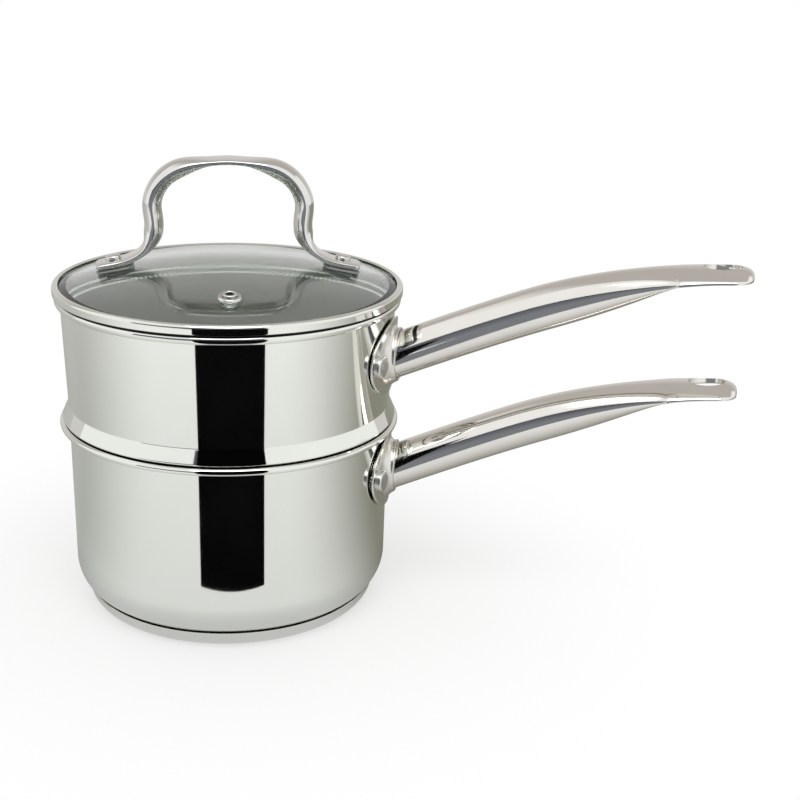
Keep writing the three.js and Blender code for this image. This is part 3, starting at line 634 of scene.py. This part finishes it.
# lid: domed glass in a steel band, a bail on two feet, and a vent
glass = {
    'dome': 288, 'sheet': 4, 'grind': 0.6, 'grindTurn': 75,
    'seat': lowest('lid_glass').z, 'crown': highest('lid_glass').z,
}
band = {
    'overhang': 0.9, 'sheet': 0.6, 'shoulder': 1.8, 'shoulderTurn': 130, 'skirtRound': 0.9,
    'seamTilt': -0.3, 'glassSlack': 0.6, 'lipSlack': 1, 'lipDrop': 10,
    'ridge': 0.8, 'ridgePitch': 3.4, 'ridgeEdge': 0.2, 'lipMargin': 0.05,
    'bottom': steamer['top'] + gap, 'top': highest('lid_rim_band').z,
}
band['radius'] = steamer['bore'] / 2 + 2 * steamer['curl'] + band['overhang']
glass['radius'] = band['radius'] - band['sheet'] - band['glassSlack']
glass['middle'] = glass['crown'] - glass['dome']


def glassAt(r):
    return glass['middle'] + math.sqrt(glass['dome'] ** 2 - r * r)


def glassProfile():
    inner = glass['dome'] - glass['sheet']
    seatReach = math.sqrt(inner ** 2 - (glass['seat'] - glass['middle']) ** 2)
    innerAngle = math.degrees(math.asin(seatReach / inner))
    edge, grind = glass['radius'], glass['grind']
    outerAngle = math.degrees(math.asin((edge - grind) / glass['dome']))
    return [
        *bend(0, glass['middle'], inner, 90, 90 - innerAngle, 40),
        *bend(edge - grind, glass['seat'] + grind, grind, -90, 0, 6),
        *bend(edge - grind, glassAt(edge) - grind, grind, 0, glass['grindTurn'], 6),
        *bend(0, glass['middle'], glass['dome'], 90 - outerAngle, 90, 44),
    ]


def bandProfile():
    shoulder = band['shoulder']
    edge = band['radius'] - shoulder
    shoulderAt = band['top'] - shoulder
    turn = band['shoulderTurn']
    sheet = band['sheet']
    bottom = band['bottom']
    skirt = band['skirtRound']
    skirtAt = (band['radius'] - skirt, bottom + skirt)
    lip = steamer['bore'] / 2 - band['lipSlack']
    lipEnd = bottom - band['lipDrop']

    # ridges stiffen the lip, and their slopes catch the light through the glass
    def ridge(z):
        inner = lip - sheet
        proud = inner - band['ridge']
        under = z - band['ridgeEdge']
        return [(inner, z + band['ridge']), (proud, z), (proud, under), (inner, under)]

    outline = [
        (lip - sheet, bottom + sheet),
        *ridge(lipEnd + band['ridgeEdge'] + band['ridgePitch']),
        *ridge(lipEnd + band['ridgeEdge']),
        (lip, lipEnd),
        (lip, bottom),
        *bend(*skirtAt, skirt, -90, 0),
        *bend(edge, shoulderAt, shoulder, 0, turn, 20),                 # crimped over the glass
        *bend(edge, shoulderAt, shoulder - sheet, turn, 0, 20),
        *bend(*skirtAt, skirt - sheet, 0, -90, 6),
    ]
    return [*outline, outline[0]]


# the band's underside, over the insert's rim: painted dark, as painted shade for the gap between band and rim
def bandSeamShade(face):
    middle = face.calc_center_median() / mm
    outside = middle.xy.length > steamer['bore'] / 2 and middle.z < band['bottom'] + band['skirtRound']
    return outside and face.normal.z < band['seamTilt']


# the lip inside the insert's rim
def bandInside(face):
    middle = face.calc_center_median() / mm
    lip = steamer['bore'] / 2 - band['lipSlack'] - band['sheet'] - band['lipMargin']
    onLip = lip < middle.xy.length < steamer['bore'] / 2
    return onLip and middle.z < band['bottom'] + 2 * band['sheet']


# the band is bedded on the glass's edge with clear silicone
def bandBed(face):
    middle = face.calc_center_median() / mm
    belowCrimp = middle.z < band['top'] - band['shoulder']
    return belowCrimp and facesIn(face) and middle.xy.length > steamer['bore'] / 2


seal = {'inset': 0.3, 'proud': 0.1, 'innerDrop': 0.2}


def sealProfile():
    edge = band['radius'] - band['shoulder']
    inner = edge - seal['inset']
    outer = glass['radius'] - glass['grind']
    room = band['shoulder'] - band['sheet'] - gap
    shoulderAt = band['top'] - band['shoulder']
    top = [(r, shoulderAt + math.sqrt(room ** 2 - (r - edge) ** 2)) for r in np.linspace(edge, outer, 5)]
    under = [(r, glassAt(r) + seal['proud']) for r in np.linspace(outer, inner, 5)]
    outline = [(inner, top[0][1] - seal['innerDrop']), *top, *under]
    return [*outline, outline[0]]


# a hole through the glass, square to it
def glassHole(span, direction):
    lean = math.asin(span / glass['dome'])
    axis = Matrix.Rotation(direction, 4, 'Z') @ Matrix.Translation((span * mm, 0, glassAt(span) * mm))
    return axis @ Matrix.Rotation(lean, 4, 'Y')


foot = {
    'span': 55.6, 'sheet': 3.6, 'wide': 16.5, 'heel': 6.6, 'toe': 8.9, 'toeRound': 2.5,
    'rivetHead': 7.6, 'rivetHigh': 2, 'rivetFlat': 2.2, 'rivetRound': 0.9, 'shank': 4,
    'tail': 6.4, 'tailHigh': 1.2, 'pad': 0.9, 'padLip': 0.1, 'padRound': 0.2,
    'seal': 12, 'sealSheet': 1, 'washer': 11, 'washerSheet': 0.8,
}
bail = {
    'height': 48.45, 'gripSheet': 3, 'gripWide': 18, 'gripFlat': 6, 'gripEnd': 26,
    'bulge': 37.4, 'shoulderTuck': 8.2, 'waistTuck': 1.3, 'ankleFlare': 1.6,
    'shoulderShare': 0.143, 'bulgeShare': 0.424, 'waistShare': 0.642, 'ankleShare': 0.87,
    'legThick': 9.3, 'legWide': 17,
    'flatEdge': 0.45, 'flatSide': 0.8, 'ease': 3.5, 'around': 72, 'along': 320,
}
vent = {
    'span': 58, 'barrel': 6.8, 'wall': 1.45, 'flange': 9.6, 'flangeSheet': 0.8, 'lip': 1.8,
    'lipRound': 0.6, 'underRound': 0.2, 'edgeRound': 0.4, 'washerSheet': 0.8, 'clinch': 0.8,
}
bailTop = glass['crown'] + bail['height']
footLean = math.asin(foot['span'] / glass['dome'])
padTop = gap + foot['pad']
footBottom = padTop + gap
footTop = footBottom + foot['sheet']
underSag = foot['seal'] ** 2 / (8 * (glass['dome'] - glass['sheet']))
sealTop = -glass['sheet'] - gap - underSag
sealBottom = sealTop - foot['sealSheet']
washerTop = sealBottom - gap
washerBottom = washerTop - foot['washerSheet']


# a smooth line through the points, sampled evenly along its length
def lineThrough(points, count, ease, fine=60):
    points = [np.array(p, float) for p in points]
    points = [2 * points[0] - points[1], *points, 2 * points[-1] - points[-2]]
    dense = []
    for a, b, c, d in zip(points, points[1:], points[2:], points[3:]):
        ab, bc, cd = (math.sqrt(np.linalg.norm(q - p)) for p, q in ((a, b), (b, c), (c, d)))
        out = ((b - a) / ab - (c - a) / (ab + bc) + (c - b) / bc) * bc
        into = ((c - b) / bc - (d - b) / (bc + cd) + (d - c) / cd) * bc
        for t in np.arange(fine) / fine:
            dense.append((2 * t ** 3 - 3 * t ** 2 + 1) * b + (t ** 3 - 2 * t ** 2 + t) * out
                         + (3 * t ** 2 - 2 * t ** 3) * c + (t ** 3 - t ** 2) * into)
    dense.append(points[-2])
    dense = np.array(dense)
    lengths = np.concatenate(([0], np.cumsum(np.linalg.norm(np.diff(dense, axis=0), axis=1))))
    even = np.linspace(0, lengths[-1], count)
    line = np.stack([np.interp(even, lengths, column) for column in dense.T], axis=1)

    # the bends run into each other: each place takes the mean of its stretch, twice
    half = round(ease / lengths[-1] * count)
    for _ in range(2):
        before = 2 * line[0] - line[half:0:-1]
        after = 2 * line[-1] - line[-2:-half - 2:-1]
        longer = np.concatenate((before, line, after))
        line = np.stack([np.convolve(column, np.ones(2 * half + 1) / (2 * half + 1), 'valid')
                         for column in longer.T], axis=1)
    return line, lengths[-1]


def bailRings():
    footMiddle = (footBottom + footTop) / 2
    slopeX, slopeZ = math.cos(footLean), math.sin(footLean)

    def footAt(run):
        return (foot['span'] + run * slopeX + footMiddle * slopeZ,
                glassAt(foot['span']) - run * slopeZ + footMiddle * slopeX)

    def legAt(span, share):
        return (span, bailTop - share * bail['height'])

    half = [
        footAt(foot['toe']), footAt(0), footAt(-foot['heel']),
        legAt(bail['bulge'] + bail['ankleFlare'], bail['ankleShare']),
        legAt(bail['bulge'] - bail['waistTuck'], bail['waistShare']),
        legAt(bail['bulge'], bail['bulgeShare']),
        legAt(bail['bulge'] - bail['shoulderTuck'], bail['shoulderShare']),
    ]
    mirrored = [(-x, z) for x, z in reversed(half)]
    line, length = lineThrough([*half, (0, bailTop), *mirrored], bail['along'] + 1, bail['ease'])
    ways = np.gradient(line, axis=0)
    ways /= np.linalg.norm(ways, axis=1)[:, None]
    footZ = line[round(foot['toe'] / length * bail['along'])][1]
    ankleZ = bailTop - bail['ankleShare'] * bail['height']
    rings = []
    for i, ((x, z), way) in enumerate(zip(line, ways)):
        leg = smoothStep(z, footZ + foot['sheet'], ankleZ + 2 * foot['sheet'])
        grip = 1 - smoothStep(abs(x), bail['gripFlat'], bail['gripEnd'])
        soft = leg * (1 - grip)
        thick = blendOf(blendOf(foot['sheet'], bail['legThick'], leg), bail['gripSheet'], grip)
        wide = blendOf(blendOf(foot['wide'], bail['legWide'], leg), bail['gripWide'], grip)
        end = min(i, bail['along'] - i) / bail['along'] * length
        narrow = roundedEnd(1 - end / foot['toeRound'])
        ring = []
        for angle in np.linspace(0, 2 * math.pi, bail['around'], endpoint=False):
            rise = thick / 2 * signedPower(math.cos(angle), blendOf(bail['flatEdge'], 1, soft))
            side = wide / 2 * narrow * signedPower(math.sin(angle), blendOf(bail['flatSide'], 1, soft))
            ring.append((x + way[1] * rise, side, z - way[0] * rise))
        rings.append(ring)
    return rings


def flatRing(outer, inner, bottom, top, edge=0.15):
    outline = [
        (inner / 2, bottom), (outer / 2 - edge, bottom), (outer / 2, bottom + edge),
        (outer / 2, top - edge), (outer / 2 - edge, top), (inner / 2, top),
    ]
    return [*outline, outline[0]]


def padMesh():
    halfLong = foot['toe'] + foot['padLip']
    halfWide = foot['wide'] / 2
    corner = foot['wide'] / 4
    outline = []
    for x, y, start in ((1, 1, 0), (-1, 1, 90), (-1, -1, 180), (1, -1, 270)):
        outline += bend(x * (halfLong - corner), y * (halfWide - corner), corner, start, start + 90, 8)
    rows = []
    edge = foot['padRound']
    for inset, z in ((edge, gap), (0, gap + edge), (0, padTop - edge), (edge, padTop)):
        shrink = 1 - inset / halfWide
        rows.append([(x * shrink, y * shrink, z) for x, y in outline])
    return skinnedMesh(rows)


def ventProfile():
    barrel = vent['barrel'] / 2
    hole = barrel - vent['wall']
    flange = vent['flange'] / 2
    sheet = vent['flangeSheet']
    under, edge, lipRound = vent['underRound'], vent['edgeRound'], vent['lipRound']
    washerTopAt = -glass['sheet'] - gap - vent['flange'] ** 2 / (8 * (glass['dome'] - glass['sheet']))
    washerEnd = washerTopAt - vent['washerSheet']
    clinchTop = washerEnd - gap
    clinchEnd = clinchTop - vent['clinch']
    lipTop = gap + sheet + vent['lip']
    outline = [
        (hole, clinchEnd),
        (flange - sheet, clinchEnd),
        (flange - sheet, clinchTop),
        (barrel, clinchTop),
        (barrel, gap),
        *soften((barrel, gap), (flange, gap), (flange, gap + sheet), under),
        *soften((flange, gap), (flange, gap + sheet), (barrel, gap + sheet), edge),
        *soften((flange, gap + sheet), (barrel + lipRound, gap + sheet), (barrel, lipTop), edge),
        *bend((barrel + hole) / 2, lipTop - lipRound, ((barrel - hole) / 2, lipRound), 0, 180, 12),
    ]
    washer = flatRing(vent['flange'], vent['barrel'] + 2 * gap, washerEnd, washerTopAt)
    return [*outline, outline[0]], washer


lidRotation = Matrix.Rotation(math.radians(lidTurn), 4, 'Z')


def addLidPiece(name, bm, material, slot, node, seat=Matrix.Identity(4), **finish):
    piece = addPiece(name, bm, material, **finish)
    piece.data.transform(lidRotation @ seat)
    standFor(piece, 'lid', slot, node)


lidGlass = addPiece('lidGlass', turnedMesh(glassProfile()), lidGlassMaterial)
ventDirection = -math.pi / 2
for direction, span, hole in (
        (0, foot['span'], foot['shank']), (math.pi, foot['span'], foot['shank']),
        (ventDirection, vent['span'], vent['barrel'])):
    bm = bmesh.new()
    radius = (hole / 2 + gap) * mm
    bmesh.ops.create_cone(bm, cap_ends=True, segments=48, radius1=radius, radius2=radius,
                          depth=4 * glass['sheet'] * mm)
    cutter = addPiece('glassHole', bm, lidGlassMaterial)
    cutter.data.transform(glassHole(span, direction))
    cutAway(lidGlass, cutter)
lidGlass.data.transform(lidRotation)
standFor(lidGlass, 'lid', 'lid_glass', 'lid_glass')
# the band's underside takes the dark steel: painted shade in the gap over the insert's rim
addLidPiece('lidRimBand', turnedMesh(bandProfile()), mirrorSteel, 'polished_steel', 'lid_rim_band',
            finishes=[(seamShadeSteel, bandSeamShade), (spunSteel, bandInside), (clearSilicone, bandBed)])
addLidPiece('lidRimSeal', turnedMesh(sealProfile()), darkSilicone, 'dark_silicone', 'lid_rim_seal')
addLidPiece('lidHandle', skinnedMesh(bailRings()), bailSteel, 'satin_steel', 'lid_handle')

for hand, direction in (('Right', 0), ('Left', math.pi)):
    seat = glassHole(foot['span'], direction)
    shankHole = foot['shank'] + 2 * gap
    rivet = rivetProfile(
        foot['shank'], foot['tail'], foot['tailHigh'], washerBottom - gap, foot['rivetHead'],
        foot['rivetHigh'], foot['rivetFlat'], foot['rivetRound'], footTop)
    underSeal = flatRing(foot['seal'], shankHole, sealBottom, sealTop)
    washer = flatRing(foot['washer'], shankHole, washerBottom, washerTop)
    for part, bm, material, slot in (
            ('Rivet', turnedMesh(rivet, smallSteps), tumbledSteel, 'polished_steel'),
            ('Pad', padMesh(), clearSilicone, 'clear_silicone'),
            ('Seal', turnedMesh(underSeal, smallSteps), clearSilicone, 'clear_silicone'),
            ('Washer', turnedMesh(washer, smallSteps), tumbledSteel, 'polished_steel')):
        addLidPiece('lidHandle' + part + hand, bm, material, slot,
                    'lid_handle_' + part.lower() + '_' + hand.lower(), seat)

ventSeat = glassHole(vent['span'], ventDirection)
for part, profile in zip(('Eyelet', 'Washer'), ventProfile()):
    addLidPiece('vent' + part, turnedMesh(profile, smallSteps), tumbledSteel, 'polished_steel',
                'vent_' + part.lower(), ventSeat)
print('lid made')

# camera at the photograph's place: it looks a little down, turned from the saucepan's handle
camera = {
    'at': (170.3, -675.7, 337.9), 'heading': 7, 'pitch': 18.52, 'roll': 1.66, 'lens': 64.09, 'sensor': 36,
}
cameraData = bpy.data.cameras.new('camera')
cameraData.lens = camera['lens']
cameraData.sensor_width = camera['sensor']
cameraData.sensor_fit = 'HORIZONTAL'
cameraObject = bpy.data.objects.new('camera', cameraData)
scene.collection.objects.link(cameraObject)
cameraObject.matrix_world = (
    Matrix.Translation(Vector(camera['at']) * mm)
    @ Matrix.Rotation(math.radians(camera['heading']), 4, 'Z')
    @ Matrix.Rotation(math.radians(90 - camera['pitch']), 4, 'X')
    @ Matrix.Rotation(math.radians(camera['roll']), 4, 'Z'))
scene.camera = cameraObject

# studio: a white room and floor with a soft lamp
studio = {
    'roomLight': 0.7, 'floorColour': '#fbfbfa', 'floorSize': 6000,
    'fadeFrom': 70, 'fadeTo': 260, 'fadeLeast': 0.55,
    'lampPower': 6, 'lampSize': (900, 700), 'lampAt': (150, -750, 1250), 'lampTarget': (0, 0, 100),
}


# 1 for the rays that see the room as white: the camera's, and those by way of steel and glass
def whiteRays(tree):
    rays = addNode(tree, 'LightPath').outputs
    seen = rays['Is Camera Ray']
    for kind in ('Is Glossy Ray', 'Is Transmission Ray'):
        seen = addNode(tree, 'Math', {0: seen, 1: rays[kind]}, operation='MAXIMUM').outputs[0]
    return seen


world = bpy.data.worlds.new('white room')
scene.world = world
world.use_nodes = True
tree = world.node_tree
tree.nodes.clear()
strength = addNode(tree, 'MapRange', {'Value': whiteRays(tree), 'To Min': studio['roomLight'], 'To Max': 1.0})
light = addNode(tree, 'Background', {'Color': (1, 1, 1, 1), 'Strength': strength.outputs[0]})
addNode(tree, 'OutputWorld', {'Surface': light.outputs[0]})

# the floor keeps the shadow close to the pot and fades to the white room further out
floorMaterial, tree, output = newMaterial('floor, matte white paper')
place = addNode(tree, 'TexCoord').outputs['Object']
away = addNode(tree, 'VectorMath', {0: place}, operation='LENGTH')
fade = addNode(tree, 'MapRange', {
    'Value': away.outputs['Value'], 'From Min': studio['fadeFrom'] * mm, 'From Max': studio['fadeTo'] * mm,
    'To Min': studio['fadeLeast']}, interpolation_type='SMOOTHSTEP')
fade = addNode(tree, 'Math', {0: fade.outputs[0], 1: whiteRays(tree)}, operation='MULTIPLY')
paper = addNode(tree, 'BsdfPrincipled', {'Base Color': hexColour(studio['floorColour']), 'Roughness': 0.9})
white = addNode(tree, 'Emission', {'Color': (1, 1, 1, 1), 'Strength': 1.0})
mixed = addNode(tree, 'MixShader', {0: fade.outputs[0], 1: paper.outputs[0], 2: white.outputs[0]})
tree.links.new(mixed.outputs[0], output.inputs['Surface'])


def addStage(name, bm, material):
    mesh = bpy.data.meshes.new(name)
    bm.to_mesh(mesh)
    bm.free()
    mesh.materials.append(material)
    thing = bpy.data.objects.new(name, mesh)
    scene.collection.objects.link(thing)
    return thing


bm = bmesh.new()
bmesh.ops.create_grid(bm, x_segments=1, y_segments=1, size=studio['floorSize'] / 2 * mm)
addStage('floor', bm, floorMaterial)


# cards give the steel its tones: only reflections see them, and their own -Y points to the camera
cards = {
    'towardsCamera': 14.1,
    'flagColour': '#050505', 'flagAway': 127, 'flagWide': 71, 'flagFrom': 10, 'flagTo': 165,
    'nightColour': '#80848c', 'nightTopColour': '#3c4149', 'nightAway': 1300, 'nightHigh': 880,
    'nightLeft': -480, 'nightRight': 510,
    'nightNearAway': 165, 'nightNearWide': 80, 'nightElbow': (-240, -680),
    'nightSide': (-1500, -800), 'nightStep': 0.12, 'nightSideHigh': (680, 620),
    'backColour': '#dcd8d6', 'backTopColour': '#c0bcb8', 'backFade': (300, 1500),
    'backAway': 1500, 'backWide': 6000, 'backHigh': 2600,
    'ceilingColour': '#ffffff', 'ceilingFront': -150, 'ceilingLeft': -1700, 'ceilingFade': (-700, -1650),
}

shine = {                  # how bright the floor is in reflections, by way out and by turn from the camera
    'nearShadowTone': 0.62, 'nearFrom': 80, 'nearTo': 128, 'midTone': 0.82, 'farAt': 560,
    'leftFrom': 42, 'leftTo': 118, 'leftColour': '#c6c7c4',
    'rightFrom': 30, 'rightTo': 112, 'rightColour': '#97958a',
    'behindFrom': 125, 'behindTo': 180, 'behindColour': '#b0afa8', 'lift': 0.2, 'size': 5000,
}


def addCard(name, material, corners):
    bm = bmesh.new()
    bm.faces.new([bm.verts.new(Vector(corner) * mm) for corner in corners])
    card = addStage(name, bm, material)
    card.rotation_euler.z = math.radians(cards['towardsCamera'])
    card.visible_camera = False
    card.visible_diffuse = False
    card.visible_shadow = False
    card.visible_transmission = False
    return card


def uprightCorners(y, left, right, bottom, top):
    return [(left, y, bottom), (right, y, bottom), (right, y, top), (left, y, top)]


def levelCorners(z, left, right, front, back):
    return [(left, front, z), (right, front, z), (right, back, z), (left, back, z)]


# a glowing card; its colour may fade to another along one axis, between two places
def cardMaterial(name, colour, fadeColour=None, axis='Z', places=(0, 1)):
    material, tree, output = newMaterial(name)
    glow = addNode(tree, 'Emission', {'Color': hexColour(colour), 'Strength': 1.0})
    if fadeColour:
        spot = addNode(tree, 'SeparateXYZ', {0: addNode(tree, 'TexCoord').outputs['Object']})
        share = addNode(tree, 'MapRange', {
            'Value': spot.outputs[axis], 'From Min': places[0] * mm, 'From Max': places[1] * mm})
        tone = addNode(tree, 'Mix', {
            'Factor': share.outputs[0], 'A': hexColour(colour), 'B': hexColour(fadeColour)}, data_type='RGBA')
        tree.links.new(tone.outputs[2], glow.inputs['Color'])
    tree.links.new(glow.outputs[0], output.inputs['Surface'])
    return material


flagMaterial = cardMaterial('card, matte black', cards['flagColour'])
nightMaterial = cardMaterial(
    'dark room', cards['nightColour'], cards['nightTopColour'], 'Z', (0, cards['nightHigh']))
backMaterial = cardMaterial(
    'backdrop, warm grey paper', cards['backColour'], cards['backTopColour'], 'Z', cards['backFade'])
ceilingMaterial = cardMaterial(
    'ceiling, grey to white', cards['backTopColour'], cards['ceilingColour'], 'X', cards['ceilingFade'])
flagHalf, backHalf, shineHalf = cards['flagWide'] / 2, cards['backWide'] / 2, shine['size'] / 2
nightLeft, nightRight, nightFront = cards['nightLeft'], cards['nightRight'], -cards['nightAway']
addCard('flag', flagMaterial, uprightCorners(
    -cards['flagAway'], -flagHalf, flagHalf, cards['flagFrom'], cards['flagTo']))
addCard('darkRoom', nightMaterial, uprightCorners(nightFront, nightLeft, nightRight, 0, cards['nightHigh']))

# the room's side is lower than its front, so that the insert's flare stays light
sideStart, sideEnd = Vector((nightLeft, nightFront)), Vector(cards['nightSide'])
sideStep = sideStart.lerp(sideEnd, cards['nightStep'])
stepHigh, endHigh = cards['nightSideHigh']
addCard('darkSide', nightMaterial, [
    (*sideEnd, 0), (*sideStart, 0), (*sideStart, cards['nightHigh']),
    (*sideStep, stepHigh), (*sideEnd, endHigh)])

# the dark floor lies behind the flag as the walls see it, so only the handles show it
nearHalf, nearFront, floorLift = cards['nightNearWide'] / 2, -cards['nightNearAway'], 2 * shine['lift']
addCard('darkFloor', nightMaterial, [
    (-nearHalf, nearFront, floorLift), (nearHalf, nearFront, floorLift),
    (nightRight, nightFront, floorLift), (nightLeft, nightFront, floorLift),
    (*cards['nightSide'], floorLift), (*cards['nightElbow'], floorLift)])
addCard('backdrop', backMaterial, uprightCorners(
    cards['backAway'], -backHalf, backHalf, 0, cards['backHigh']))
addCard('ceiling', ceilingMaterial, levelCorners(
    cards['backHigh'], cards['ceilingLeft'], backHalf, cards['ceilingFront'], cards['backAway']))

# the floor as the steel sees it: grey close to the pot, which is painted shade for the pot's shadow there,
# white further out in front, and warm grey beside and behind
shineMaterial, tree, output = newMaterial('floor in reflections')
place = addNode(tree, 'TexCoord').outputs['Object']
away = addNode(tree, 'VectorMath', {0: place}, operation='LENGTH').outputs['Value']
axes = addNode(tree, 'SeparateXYZ', {0: place})
front = addNode(tree, 'Math', {0: axes.outputs['Y'], 1: -1.0}, operation='MULTIPLY')
turn = addNode(tree, 'Math', {0: axes.outputs['X'], 1: front.outputs[0]}, operation='ARCTAN2')
# grey close to the pot: painted shade, the pot's shadow on the floor as the steel sees it
near = addNode(tree, 'MapRange', {
    'Value': away, 'From Min': shine['nearFrom'] * mm, 'From Max': shine['nearTo'] * mm,
    'To Min': shine['nearShadowTone'], 'To Max': shine['midTone']})
far = addNode(tree, 'MapRange', {
    'Value': away, 'From Min': shine['nearTo'] * mm, 'From Max': shine['farAt'] * mm,
    'To Min': 1.0, 'To Max': 1 / shine['midTone']})
tone = addNode(tree, 'Math', {0: near.outputs[0], 1: far.outputs[0]}, operation='MULTIPLY')
tint = (1, 1, 1, 1)
for hand, sign in (('left', -1), ('right', 1)):
    share = addNode(tree, 'MapRange', {
        'Value': turn.outputs[0], 'From Min': sign * math.radians(shine[hand + 'From']),
        'From Max': sign * math.radians(shine[hand + 'To'])}, interpolation_type='SMOOTHSTEP')
    tint = addNode(tree, 'Mix', {
        'Factor': share.outputs[0], 'A': tint, 'B': hexColour(shine[hand + 'Colour'])},
        data_type='RGBA').outputs[2]
share = addNode(tree, 'MapRange', {
    'Value': addNode(tree, 'Math', {0: turn.outputs[0]}, operation='ABSOLUTE').outputs[0],
    'From Min': math.radians(shine['behindFrom']), 'From Max': math.radians(shine['behindTo'])},
    interpolation_type='SMOOTHSTEP')
tint = addNode(tree, 'Mix', {
    'Factor': share.outputs[0], 'A': tint, 'B': hexColour(shine['behindColour'])},
    data_type='RGBA').outputs[2]
glow = addNode(tree, 'Emission', {'Color': tint, 'Strength': tone.outputs[0]})
tree.links.new(glow.outputs[0], output.inputs['Surface'])
addCard('shineFloor', shineMaterial, levelCorners(
    shine['lift'], -shineHalf, shineHalf, -shineHalf, shineHalf))


def addLamp(name, power, size, at, target):
    data = bpy.data.lights.new(name, 'AREA')
    data.energy = power
    data.shape = 'RECTANGLE'
    data.size, data.size_y = size[0] * mm, size[1] * mm
    lamp = bpy.data.objects.new(name, data)
    lamp.location = Vector(at) * mm
    direction = Vector(target) * mm - lamp.location
    lamp.rotation_euler = direction.to_track_quat('-Z', 'Y').to_euler()
    scene.collection.objects.link(lamp)


addLamp('frontLamp', studio['lampPower'], studio['lampSize'], studio['lampAt'], studio['lampTarget'])
print('studio set')
